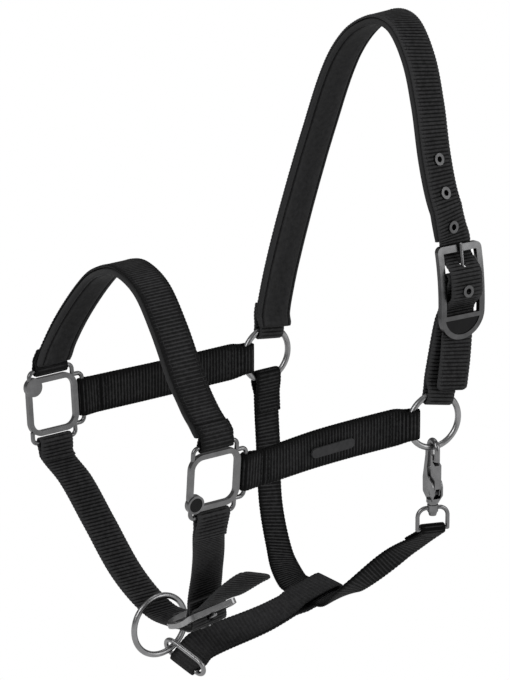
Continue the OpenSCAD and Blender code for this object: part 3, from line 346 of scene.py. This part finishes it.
under_toe = frame_back(TOE_LEN) - WEB_CLEAR - WEB_T / 2
over_bar = BAR_R + 2 * WEB_CLEAR + 1.5 * WEB_T + 0.6
crown_run = crown_spine.nearest(crown_bar)
crown_lay = Lay(crown_spine, (
    [[FOLD_END + OUTER_TURN_BACK, OVER, WEB_W]] + ring_turn(0, -1, WEB_W, OVER, 0)
    + [[FOLD_END + 9, 0, WEB_W], [crown_run - 46, 0, WEB_W]]
    + rows(crown_run, -1, (
        (39, -2.6), (32, -5.2), (26, under_toe - 0.2), (20, under_toe - 0.35), (15.2, under_toe + 0.2),
        (12.2, -3.6), (6.5, 3.4), (3.5, over_bar - 0.4), (0, over_bar), (-9.5, over_bar),
        (-13, over_bar - 1), (-19.6, -2.4), (-23, frame_back(-LOWER_AT) - 1.5),
        (-27, frame_back(-LOWER_AT) - 1.7), (-41, frame_back(-HEEL_LEN) - 1.6), (-58, -5.4), (-76, -5),
    ))
))
pad_out = -WEB_T / 2 - LAYER_GAP - PAD_T / 2
ring_side = RING_WIRE / 2 + WEB_CLEAR + WEB_T / 2
crown_pad_lay = Lay(crown_spine, (
    rows(FOLD_END, 1, (
        (0.6 - RING_LEAD, pad_out - ring_side - 0.3), (0.6, pad_out - 0.3), (9, pad_out),
    ), PAD_W)
    + rows(crown_run, -1, (
        (46, pad_out), (39, pad_out - 2.9), (32, pad_out - 5.6), (26.5, pad_out + under_toe - 0.9),
    ), PAD_W)
))
chape_end = bar_turn(chape_spine.end, 1, BAR_R, WEB_W, 12)
chape_lay = Lay(chape_spine, doubled(ring_turn(0, -1), chape_end, 10))
nose_end = nose_spine.end
nose_lay = Lay(nose_spine, (
    [[7 + OUTER_TURN_BACK, OVER, WEB_W]] + bar_turn(0, -1, LOOP_WIRE / 2, WEB_W, 7, OVER, 0)
    + [[11.5, 0, WEB_W], [nose_end - 11.5, 0, WEB_W]]
    + bar_turn(nose_end, 1, LOOP_WIRE / 2, WEB_W, 7, OVER, 0)[::-1]
    + [[nose_end - 7 - OUTER_TURN_BACK, OVER, WEB_W]]
))
PAD_TUCK = ((6, pad_out - 1.6), (16, pad_out))
nose_pad_lay = Lay(nose_spine, rows(0, 1, PAD_TUCK, PAD_W) + rows(nose_end, -1, PAD_TUCK[::-1], PAD_W))


def cheek_lay(spine):
    second = bar_turn(spine.end, 1, LOOP_WIRE / 2, WEB_W)
    return Lay(spine, doubled(ring_turn(0, -1), second, spine.end - FOLD_END - 13))


near_cheek_lay, far_cheek_lay = cheek_lay(near_cheek_spine), cheek_lay(far_cheek_spine)
near_chin_end = near_chin_spine.end
near_chin_lay = Lay(near_chin_spine, (
    [[9 + OUTER_TURN_BACK, OVER, WEB_W]] + bar_turn(0, -1, LOOP_WIRE / 2, WEB_W, 9, OVER, 0)
    + [[12, 0, WEB_W], [near_chin_end - 15, 0, WEB_W]]
    + bar_turn(near_chin_end, 1, BAR_R, WEB_W, 12, OVER, 0)[::-1]
    + [[near_chin_end - 12 - OUTER_TURN_BACK, OVER, WEB_W]]
))
chin_run = far_chin_spine.nearest(chin_bar)
far_chin_lay = Lay(far_chin_spine, (
    [[9 + PAD_TURN_BACK, INSIDE, WEB_W]] + bar_turn(0, -1, LOOP_WIRE / 2, WEB_W, 9, 0, INSIDE)[::-1]
    + [[13, 0, WEB_W], [chin_run - 46, 0, WEB_W]]
    + rows(chin_run, 1, (
        (-41, frame_front(-HEEL_LEN) + 1.5), (-33, frame_front(-33) + 1.6), (-24, frame_front(-24) + 1.8),
        (-13, over_bar - 1), (-9.5, over_bar), (0, over_bar), (3.5, over_bar - 0.4), (6.5, 3.4),
        (12.2, -3.4), (15.2, under_toe + 0.2), (20, under_toe - 0.3), (26, under_toe - 0.7), (36, -8.6),
        (48, -12), (58, -14.5), (67, -16),
    ))
))
jaw_end, JAW_JOIN = jaw_spine.end, 36.3
pocket = WEB_T + WEB_CLEAR + 1
into, out_of = jaw_end - 14 - THROAT_W / 2 - 2, jaw_end - 14 + THROAT_W / 2 + 2
link_turn = bar_turn(0, -1, LINK_WIRE / 2, GATHERED_W)
for row in (link_turn[0], link_turn[-1]):
    row[2] = WEB_W
jaw_lay = Lay(jaw_spine, (
    [[JAW_JOIN, HALF_LAYER, WEB_W], [22, HALF_LAYER, WEB_W]] + link_turn
    + [[22, -HALF_LAYER, WEB_W], [into - 8, -HALF_LAYER, WEB_W], [into, -pocket, WEB_W]]
    + rows(out_of, 1, half_turn(pocket, 12)[::-1])
    + [[into, pocket, WEB_W], [into - 8, HALF_LAYER, WEB_W], [JAW_JOIN, HALF_LAYER, WEB_W]]
))
throat_end = throat_spine.end
throat_lay = Lay(throat_spine, (
    [[FOLD_END + TURN_BACK, INSIDE, THROAT_W]] + ring_turn(0, -1, THROAT_W, 0, INSIDE)[::-1]
    + [[FOLD_END + 5, 0, THROAT_W], [throat_end - 28, 0, THROAT_W], [throat_end - 16, 0, BAIL_STRAP]]
    + bar_turn(throat_end, 1, BAIL_WIRE / 2, BAIL_STRAP, 12, 0, INSIDE)
    + [[throat_end - 12 - TURN_BACK, INSIDE, BAIL_STRAP]]
))

# Materials


class Socket:
    """An output of a node, with arithmetic; via() leads to any other node."""

    def __init__(self, tree, out):
        self.tree, self.out = tree, out

    def feed(self, target):
        self.tree.links.new(self.out, target)

    def _set(self, slot, v):
        if isinstance(v, Socket):
            v.feed(slot)
        else:
            slot.default_value = v

    def _math(self, op, v):
        node = self.tree.nodes.new("ShaderNodeMath")
        node.operation = op
        self.feed(node.inputs[0])
        self._set(node.inputs[1], v)
        return Socket(self.tree, node.outputs[0])

    def __add__(self, v):
        return self._math("ADD", v)

    def __sub__(self, v):
        return self._math("SUBTRACT", v)

    def __mul__(self, v):
        return self._math("MULTIPLY", v)

    __radd__ = __add__

    def via(self, kind, into, out=0, **inputs):
        """A node of that kind fed by this socket, with its other inputs."""
        node = self.tree.nodes.new("ShaderNode" + kind)
        self.feed(node.inputs[into])
        for key, v in inputs.items():
            self._set(node.inputs[key.replace("_", " ")], v)
        return Socket(self.tree, node.outputs[out])


def source(tree, kind, out):
    """An output of a new node that needs no input."""
    return Socket(tree, tree.nodes.new("ShaderNode" + kind).outputs[out])


def material(name, **constants):
    """A material with its shader, and the place on the object as a socket."""
    mat = bpy.data.materials.new(name)
    mat.use_nodes = True
    tree = mat.node_tree
    shader = tree.nodes["Principled BSDF"]
    for key, v in constants.items():
        shader.inputs[key.replace("_", " ")].default_value = v
    return mat, shader, source(tree, "TexCoord", "Object")


def noise(place, scale, detail=3.0, rough=0.5):
    return place.via("TexNoise", "Vector", 0, Scale=scale, Detail=detail, Roughness=rough)


def ramp(value, dark, light, low=0.3, high=0.7):
    shade = value.via("ValToRGB", "Fac")
    first, last = shade.out.node.color_ramp.elements
    first.position, first.color = low, (*dark, 1)
    last.position, last.color = high, (*light, 1)
    return shade


def bumped(shader, height, strength, distance):
    height.via("Bump", "Height", 0, Strength=strength, Distance=distance).feed(shader.inputs["Normal"])


def cloth(name, dark, light, rough, thread, strength, ribs=0.0):
    """Black cloth. From the mesh's pointiness, crests get a painted highlight and valleys and grooves a
    painted shade, by the share ribs.
    """
    mat, shader, place = material(name, Specular_IOR_Level=0.09)
    shade = noise(place, 320.0, 4.0) * 0.5 + noise(place, 1400.0, 3.0) * 0.5
    if ribs:
        # Painted rib shade: pointiness lightens the crests and darkens the valleys and grooves in the base
        # colour
        painted_rib_shade = source(mat.node_tree, "NewGeometry", "Pointiness") - 0.5
        shade = shade * 0.9 + painted_rib_shade * ribs
    ramp(shade, dark, light).feed(shader.inputs["Base Color"])
    (rough + noise(place, 900.0) * 0.12).feed(shader.inputs["Roughness"])
    bumped(shader, noise(place, thread, 2.0, 0.6), strength, 0.0002)
    return mat


# The last number of a cloth weights its painted rib shade; on the lining it darkens the seam grooves
WEB = cloth("webbing_black", (0.001, 0.001, 0.0011), (0.042, 0.042, 0.0432), 0.5, 2400.0, 0.5, 10.0)
# A lighter copy of the webbing for the noseband: painted light
NOSE_PAINTED_LIGHT_WEB = cloth("webbing_nose_painted_light", (0.007, 0.007, 0.0072), (0.048, 0.048, 0.0494), 0.5, 2400.0, 0.5, 9.0)
# A lighter copy of the webbing for the jaw strap, with weaker painted rib shade: painted light on a strap
# that faces away from the lamps
JAW_PAINTED_LIGHT_WEB = cloth("webbing_jaw_painted_light", (0.020, 0.020, 0.0207), (0.052, 0.052, 0.0535), 0.5, 2400.0, 0.5, 3.0)
LINING = cloth("lining_black", (0.015, 0.015, 0.0155), (0.041, 0.041, 0.042), 0.65, 3200.0, 0.3, 8.0)
THREAD = cloth("thread_black", (0.018, 0.018, 0.0187), (0.045, 0.045, 0.0464), 0.5, 4200.0, 0.3)


def metal(name, dark, light, rough, bump):
    mat, shader, place = material(name, Metallic=1.0)
    ramp(noise(place, 120.0, 5.0, 0.6), dark, light).feed(shader.inputs["Base Color"])
    (rough + noise(place, 700.0, 4.0) * 0.12).feed(shader.inputs["Roughness"])
    bumped(shader, noise(place, 420.0, 4.0), bump, 0.0003)
    return mat


DARK = metal("gunmetal_dark", (0.085, 0.085, 0.086), (0.13, 0.13, 0.132), 0.24, 0.08)
CAST = metal("gunmetal_cast", (0.15, 0.15, 0.152), (0.22, 0.22, 0.223), 0.26, 0.08)
FORGED = metal("gunmetal_forged", (0.18, 0.18, 0.183), (0.26, 0.26, 0.263), 0.24, 0.06)
WIRE = metal("gunmetal_wire", (0.26, 0.26, 0.263), (0.36, 0.36, 0.364), 0.26, 0.0)


def plastic(name, dark, light, rough, coat):
    mat, shader, place = material(name, Coat_Roughness=0.12, Specular_IOR_Level=0.12)
    ramp(noise(place, 300.0), dark, light).feed(shader.inputs["Base Color"])
    (rough + noise(place, 800.0) * 0.08).feed(shader.inputs["Roughness"])
    (coat + noise(place, 60.0) * 0.1).feed(shader.inputs["Coat Weight"])
    bumped(shader, noise(place, 900.0, 3.0), 0.06, 0.0002)
    return mat


INLAY = plastic("inlay_black", (0.005, 0.005, 0.0055), (0.008, 0.008, 0.0085), 0.35, 0.0)
BADGE = plastic("badge_grey", (0.032, 0.032, 0.0337), (0.046, 0.046, 0.0479), 0.42, 0.1)

# Webbing and padding


def mesh_object(name, verts, faces, body, material):
    """A closed, smooth mesh that rides a body. verts are in millimetres."""
    mesh = bpy.data.meshes.new(name)
    mesh.from_pydata((np.asarray(verts) * MM).tolist(), [], faces)
    mesh.validate()
    mesh.polygons.foreach_set("use_smooth", [True] * len(mesh.polygons))
    obj = bpy.data.objects.new(name, mesh)
    bpy.context.scene.collection.objects.link(obj)
    mesh.materials.append(material)
    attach(obj, body)
    return obj


def tube_faces(rings, k):
    """Faces of a closed tube of that many rings with k corners each."""
    faces = [list(range(k))[::-1], list(range((rings - 1) * k, rings * k))]
    for i in range(rings - 1):
        a = i * k
        faces += [[a + j, a + (j + 1) % k, a + k + (j + 1) % k, a + k + j] for j in range(k)]
    return faces


RIB = 2.5
FLAT = np.linspace(-1, 1, 9)
EDGE_ROUND, VALLEY_IN, VALLEY_T, CORD_T = 0.75, 0.25, 0.4, 0.64
WEB_FRAC = np.concatenate([FLAT, [1, 1, 1], FLAT[::-1], [-1, -1, -1]])
WEB_EDGE = np.concatenate([FLAT * 0, [0.55, EDGE_ROUND, 0.55], FLAT * 0, [-0.55, -EDGE_ROUND, -0.55]])
WEB_UP = np.concatenate([FLAT * 0 + 1, [0.62, 0, -0.62], FLAT * 0 - 1, [-0.62, 0, 0.62]])


def rib(u):
    """Height of a rounded weft cord at path length u, near 0 in the valley and 1 at the crest."""
    f = (u / RIB) % 1 * 2 - 1
    return np.sqrt(np.clip(1 - 0.96 * f * f, 0, 1))


def webbing(name, lay, material, nodes, tip=0.0):
    """Ribbed webbing along a path, with corners of radius tip at its far end."""
    h = WEB_T / 2 * (VALLEY_T + CORD_T * rib(lay.u))
    hw = lay.width / 2 - EDGE_ROUND - VALLEY_IN * (1 - rib(lay.u))
    if tip:
        short = np.clip(tip - (lay.length - lay.u), 0, tip)
        hw = hw - (tip - np.sqrt(tip * tip - short * short))
    verts = lay.swept(hw[:, None] * WEB_FRAC + WEB_EDGE, h[:, None] * WEB_UP * (1 - 0.06 * WEB_FRAC**6))
    faces = tube_faces(len(lay.u), len(WEB_FRAC))
    obj = mesh_object(name, verts.reshape(-1, 3), faces, "halter", material)
    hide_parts(*nodes)
    return obj


PAD_RIM = [
    (0, 2.2), (4, 2.2), (8, 2.2), (11.4, 2.2), (12.5, 1.95), (13.1, 1.2), (13.25, 0.2), (13.1, -0.7),
    (12.5, -1.4),
]
PAD_GROOVE = [(1.3, -1.7), (0.6, -1.35), (0, -0.5), (-0.6, -1.45), (-1.4, -2.0), (-2.6, -2.2)]
PAD_FACE = [(4, -2.25), (0, -2.25)]
CROWN_SEAM, NOSE_SEAM, SEAM_DEPTH = 10.7, 9.4, 0.8
BLUNT_END, BUCKLE_END, THINNEST = 3.5, 30.0, 0.15


def padding(name, lay, seam, last, material, nodes):
    """Padded lining along a path, with a groove at its border's seams. It thins over the length last."""
    half = np.array(PAD_RIM + [(seam + x, y) for x, y in PAD_GROOVE] + PAD_FACE)
    section = np.concatenate([half[1:-1] * (-1, 1), half[::-1]])
    end = np.minimum(lay.u / BLUNT_END, (lay.length - lay.u) / last)
    full = np.sqrt(np.clip(1 - np.clip(1 - end, 0, 1) ** 2, THINNEST, 1))
    wave = 1 + 0.02 * np.sin(lay.u * 0.21) * np.sin(lay.u * 0.083 + 1)
    x = section[None, :, 0] * (0.92 + 0.08 * full[:, None])
    y = section[None, :, 1] * np.where(section[None, :, 1] < 0, (full * wave)[:, None], 1)
    faces = tube_faces(len(lay.u), len(section))
    obj = mesh_object(name, lay.swept(x, y).reshape(-1, 3), faces, "halter", material)
    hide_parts(*nodes)
    return obj


straps = {
    "crown_webbing": crown_lay, "crown_chape": chape_lay, "noseband_webbing": nose_lay,
    "near_cheek_strap": near_cheek_lay, "far_cheek_strap": far_cheek_lay, "near_chin_strap": near_chin_lay,
    "far_chin_strap": far_chin_lay, "jaw_strap": jaw_lay, "throat_strap": throat_lay,
}
TIPS = {"crown_webbing": 3.5, "far_chin_strap": 5.0}
# Straps whose webbing is a lighter copy, with painted light
PAINTED_LIGHT_WEBS = {"jaw_strap": JAW_PAINTED_LIGHT_WEB, "noseband_webbing": NOSE_PAINTED_LIGHT_WEB}
made = {}
for name, lay in straps.items():
    made[name] = webbing(name + "_woven", lay, PAINTED_LIGHT_WEBS.get(name, WEB), [name], TIPS.get(name, 0.0))
for name, lay, seam, last in (
    ("crown_padding", crown_pad_lay, CROWN_SEAM, BUCKLE_END),
    ("noseband_padding", nose_pad_lay, NOSE_SEAM, BLUNT_END),
):
    padding(name + "_sewn", lay, seam, last, LINING, [name])

# Holes and slots in the webbing

EYELET_HOLE_R, EYELET_HOLE_HALF, CROWN_EYELET_AT, CHIN_EYELET_AT = 2.8, 3.0, -8.4, -4.5
PRONG_HOLE_R, PRONG_HOLE_MID, PRONG_HOLE_HALF = 2.4, 8.25, 6.25
PRONG_RISE, PRONG_TILT = 0.7, math.radians(5)
BAR_SLOT = (2.5, 8, 8)


def prism(centre, axis, radius, half, sides=20):
    """Corners and faces of a round pin, for cutting a hole."""
    axis = unit(axis)
    a = square_to(X if abs(axis[0]) < 0.8 else Y, axis)
    b = np.cross(axis, a)
    turns = [2 * math.pi * k / sides for k in range(sides)]
    rim = [math.cos(t) * a + math.sin(t) * b for t in turns]
    verts = [centre + z * half * axis + radius * v for z in (-1, 1) for v in rim]
    return verts, tube_faces(2, sides)


def slab(centre, axes, half):
    """Corners and faces of a box, for cutting a slot."""
    verts = [centre + (a * half[0]) * axes[0] + (b * half[1]) * axes[1] + c * half[2] * axes[2]
             for c in (-1, 1) for a, b in ((-1, -1), (1, -1), (1, 1), (-1, 1))]
    return verts, tube_faces(2, 4)


def cut(obj, shapes):
    """Takes the shapes out of obj's mesh."""
    verts, faces = [], []
    for v, f in shapes:
        faces += [[len(verts) + i for i in face] for face in f]
        verts += v
    mesh = bpy.data.meshes.new("cutter")
    mesh.from_pydata((np.array(verts) * MM).tolist(), [], faces)
    tool = bpy.data.objects.new("cutter", mesh)
    bpy.context.scene.collection.objects.link(tool)
    mod = obj.modifiers.new("cut", "BOOLEAN")
    mod.object, mod.operation, mod.solver = tool, "DIFFERENCE", "EXACT"
    graph = bpy.context.evaluated_depsgraph_get()
    done = bpy.data.meshes.new_from_object(obj.evaluated_get(graph))
    obj.modifiers.clear()
    obj.data = done
    bpy.data.objects.remove(tool)
    bpy.data.meshes.remove(mesh)


def buckle_holes(bar, toe, out, eyelet):
    """The prong's hole and the eyelet's hole in a strap that runs through a buckle."""
    prong = unit(math.cos(PRONG_TILT) * toe - math.sin(PRONG_TILT) * out)
    start = bar + (BAR_R + PRONG_RISE) * out
    return [prism(start + PRONG_HOLE_MID * prong, prong, PRONG_HOLE_R, PRONG_HOLE_HALF),
            prism(bar + eyelet * toe + over_bar * out, out, EYELET_HOLE_R, EYELET_HOLE_HALF)]


def strap_hole(lay, run):
    u = lay.at_run(run)
    return prism(lay.place(u), lay.place(u, 0.0, 1.0) - lay.place(u), EYELET_HOLE_R, EYELET_HOLE_HALF)


crown_holes = [strap_hole(crown_lay, crown_run - EYELETS_FROM - EYELET_PITCH * k) for k in (1, 2, 3)]
chin_holes = [strap_hole(far_chin_lay, chin_run - HEEL_LEN - HEEL_TO_EYELET)]
cut(made["crown_webbing"], crown_holes + buckle_holes(crown_bar, crown_toe, crown_out, CROWN_EYELET_AT))
cut(made["far_chin_strap"], chin_holes + buckle_holes(chin_bar, chin_toe, chin_out, CHIN_EYELET_AT))
cut(made["crown_chape"], [slab(crown_bar, (crown_across, crown_toe, crown_out), BAR_SLOT)])
cut(made["near_chin_strap"], [slab(chin_bar, (chin_across, chin_toe, chin_out), BAR_SLOT)])

# Stitching. On a turned-back layer the outside of the strap is the path's under side

TOP, UNDER = 1.0, -1.0
THREAD_R, THREAD_BURY, STITCH, STITCH_GAP = 0.27, 0.25, 3.1, 0.14
EDGE_ROW, FULL_ROW, PAD_MARGIN = 9.7, 10, 3
TURN_ROWS = (1.6, 6.8)


class Stitches:
    """Threads of one strap, gathered into one mesh."""

    def __init__(self):
        self.verts, self.faces = [], []

    def thread(self, a, b, up):
        along = unit(b - a)
        side = np.cross(along, up)
        fifth = 0.2 * (b - a)
        rings = ((a, 0.5, -THREAD_BURY), (a + fifth, 1, 0), (b - fifth, 1, 0), (b, 0.5, -THREAD_BURY))
        for p, scale, lift in rings:
            for k in range(6):
                c, s = math.cos(math.pi * k / 3), math.sin(math.pi * k / 3)
                self.verts.append(p + lift * up + THREAD_R * scale * (c * side + s * up))
        first = len(self.verts) - 24
        self.faces += [[first + i for i in f] for f in tube_faces(4, 6)]

    def ends(self, start, stop):
        """Where the stitches of a row begin and end."""
        n = max(1, round(abs(stop - start) / STITCH))
        edge = np.linspace(start, stop, n + 1)
        gap = STITCH_GAP * (stop - start) / n
        return edge[:-1] + gap, edge[1:] - gap

    def along(self, lay, start, stop, side, up):
        """A row of stitches along the strap."""
        a, b = self.ends(start, stop)
        mid = (a + b) / 2
        facing = unit(lay.place(mid, side, up) - lay.place(mid, side, 0.0))
        for p, q, f in zip(lay.place(a, side, up), lay.place(b, side, up), facing):
            self.thread(p, q, f)

    def over(self, lay, u, half, up):
        """A row of stitches across the strap."""
        facing = unit(lay.place(u, 0.0, up) - lay.place(u, 0.0, 0.0))
        for p, q in zip(*self.ends(-half, half)):
            self.thread(lay.place(u, p, up), lay.place(u, q, up), facing)

    def box(self, lay, u0, u1, half, up):
        for x in (-half, half):
            self.along(lay, u0, u1, x, up)
        for u in (u0, u1):
            self.over(lay, u, half, up)

    def borders(self, lay, pad, start, stop, seam):
        """The rows along both borders of a padded strap, on the webbing and in the padding's grooves."""
        for way in (-1, 1):
            self.along(lay, lay.at_run(start), lay.at_run(stop), way * EDGE_ROW, TOP)
            self.along(pad, PAD_MARGIN, pad.length - PAD_MARGIN, way * seam, -SEAM_DEPTH)

    def make(self, name):
        return mesh_object(name + "_stitching", np.array(self.verts), self.faces, "halter", THREAD)


sewn = Stitches()
sewn.borders(crown_lay, crown_pad_lay, FOLD_END + 12, crown_run - 44, CROWN_SEAM)
sewn.box(crown_lay, 1.5, 8, 9.5, UNDER)
for side in (-EDGE_ROW, EDGE_ROW):
    sewn.along(crown_lay, crown_lay.at_run(crown_run + 46), crown_lay.length - 4, side, TOP)
sewn.over(crown_lay, crown_lay.length - 4, EDGE_ROW, TOP)
sewn.make("crown")

sewn = Stitches()
sewn.borders(nose_lay, nose_pad_lay, 19, nose_end - 19, NOSE_SEAM)
sewn.box(nose_lay, *TURN_ROWS, FULL_ROW, UNDER)
sewn.box(nose_lay, *(nose_lay.length - u for u in TURN_ROWS[::-1]), FULL_ROW, UNDER)
sewn.make("noseband")

for name, lay in (("near_cheek", near_cheek_lay), ("far_cheek", far_cheek_lay)):
    sewn = Stitches()
    join = lay.run[0]
    for u in (2, 5, join - 33, join - 28.5, lay.length - 1.4):
        sewn.over(lay, u, FULL_ROW, UNDER)
    sewn.make(name)

sewn = Stitches()
for u in TURN_ROWS:
    sewn.over(near_chin_lay, u, FULL_ROW, UNDER)
    sewn.over(near_chin_lay, near_chin_lay.length - u, FULL_ROW, UNDER)
sewn.over(far_chin_lay, 1.4, FULL_ROW, TOP)
for face in (TOP, UNDER):
    sewn.over(far_chin_lay, far_chin_lay.length - 5, 9, face)
sewn.make("chin")

sewn = Stitches()
for s in (20, 24):
    sewn.over(jaw_lay, JAW_JOIN - s, FULL_ROW, UNDER)
for s in (into - 9, into - 12):
    sewn.over(jaw_lay, jaw_lay.length - (s - JAW_JOIN), FULL_ROW, UNDER)
sewn.make("jaw")

sewn = Stitches()
sewn.box(throat_lay, 1.5, 12, 7.5, TOP)
sewn.box(throat_lay, throat_lay.length - 12, throat_lay.length - 1.5, 6.2, TOP)
sewn.make("throat")

sewn = Stitches()
for u in (4, 7):
    sewn.over(chape_lay, u, FULL_ROW, UNDER)
sewn.make("chape")

# Metal, inlays and plate keep their CAD meshes

FINISH = {
    "near_square": CAST, "far_square": CAST, "near_ring": WIRE, "far_ring": WIRE, "chin_ring": WIRE,
    "jaw_link": WIRE, "chin_buckle_frame": WIRE, "crown_buckle_frame": DARK, "crown_eyelets": DARK,
    "chin_eyelets": DARK, "near_square_inlay": INLAY, "far_square_inlay": INLAY, "crown_buckle_inlay": INLAY,
    "chin_buckle_inlay": INLAY, "cheek_badge": BADGE,
}
BEVELS = {
    "near_square": 1.2, "far_square": 1.2, "crown_buckle_frame": 0.8, "chin_buckle_frame": 0.8,
    "cheek_badge": 0.5, "snap_hook": 0.8, "snap_gate": 0.6, "crown_eyelets": 0.25, "chin_eyelets": 0.25,
}
for name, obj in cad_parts.items():
    if name in straps or name.endswith("_padding"):
        continue
    obj.data.materials.clear()
    obj.data.materials.append(FINISH.get(name, FORGED))
    if name in BEVELS:
        mod = obj.modifiers.new("worn_edge", "BEVEL")
        mod.width, mod.segments = BEVELS[name] * MM, 3
        mod.limit_method, mod.angle_limit = "ANGLE", math.radians(40)

# Floor, light and camera. Their places are in metres

FLOOR_Z, FLOOR_HALF = -0.45, 9
AIM = Vector((0, -0.107, -0.1975))
AZIMUTH, ELEVATION, DISTANCE = math.radians(54), math.radians(19), 3.2
SENSOR, PICTURE_HEIGHT, PIXELS_PER_MM = 36, 680, 1.54


def seen_white(tree, lit, output, reflected):
    """Shows a surface as plain white to the camera, and by a share in reflections. Its light stays."""
    camera = source(tree, "LightPath", "Is Camera Ray")
    seen = camera + source(tree, "LightPath", "Is Glossy Ray") * reflected
    mix = seen.via("MixShader", "Fac")
    Socket(tree, tree.nodes[lit].outputs[0]).feed(mix.out.node.inputs[1])
    source(tree, "Emission", 0).feed(mix.out.node.inputs[2])
    mix.feed(tree.nodes[output].inputs["Surface"])


floor_mat, _, _ = material("floor_white", Base_Color=(0.6, 0.6, 0.6, 1), Roughness=0.9)
seen_white(floor_mat.node_tree, "Principled BSDF", "Material Output", 0.6)
mesh = bpy.data.meshes.new("floor")
corners = [(x * FLOOR_HALF, y * FLOOR_HALF, FLOOR_Z) for x, y in ((-1, -1), (1, -1), (1, 1), (-1, 1))]
mesh.from_pydata(corners, [], [(0, 1, 2, 3)])
mesh.materials.append(floor_mat)
floor = bpy.data.objects.new("floor", mesh)
bpy.context.scene.collection.objects.link(floor)

world = bpy.data.worlds.new("studio")
bpy.context.scene.world = world
world.use_nodes = True
sky = world.node_tree
height = source(sky, "TexCoord", "Generated").via("SeparateXYZ", 0, 2)
ramp(height, (0.30, 0.30, 0.30), (0.62, 0.62, 0.62), 0.0, 0.9).feed(sky.nodes["Background"].inputs["Color"])
sky.nodes["Background"].inputs["Strength"].default_value = 0.5
seen_white(sky, "Background", "World Output", 0.0)


def soft_light(name, at, size, power):
    data = bpy.data.lights.new(name, "AREA")
    data.shape, data.size, data.energy = "SQUARE", size, power
    obj = bpy.data.objects.new(name, data)
    obj.location = AIM + Vector(at)
    obj.rotation_euler = (-Vector(at)).to_track_quat("-Z", "Y").to_euler()
    bpy.context.scene.collection.objects.link(obj)


soft_light("key", (0.6, -2.0, 1.4), 1.3, 23)
soft_light("side", (1.9, 1.4, 0.8), 1.6, 20)
soft_light("top", (-0.5, 0.6, 2.2), 1.2, 8)

cam = bpy.data.objects.new("camera", bpy.data.cameras.new("camera"))
level = math.cos(ELEVATION)
toward = Vector((math.sin(AZIMUTH) * level, -math.cos(AZIMUTH) * level, math.sin(ELEVATION)))
cam.location = AIM + DISTANCE * toward
cam.rotation_euler = (-toward).to_track_quat("-Z", "Y").to_euler()
cam.data.sensor_width = SENSOR
cam.data.lens = SENSOR * DISTANCE / MM * PIXELS_PER_MM / PICTURE_HEIGHT
bpy.context.scene.collection.objects.link(cam)
bpy.context.scene.camera = cam
bpy.context.scene.view_settings.view_transform = "Standard"
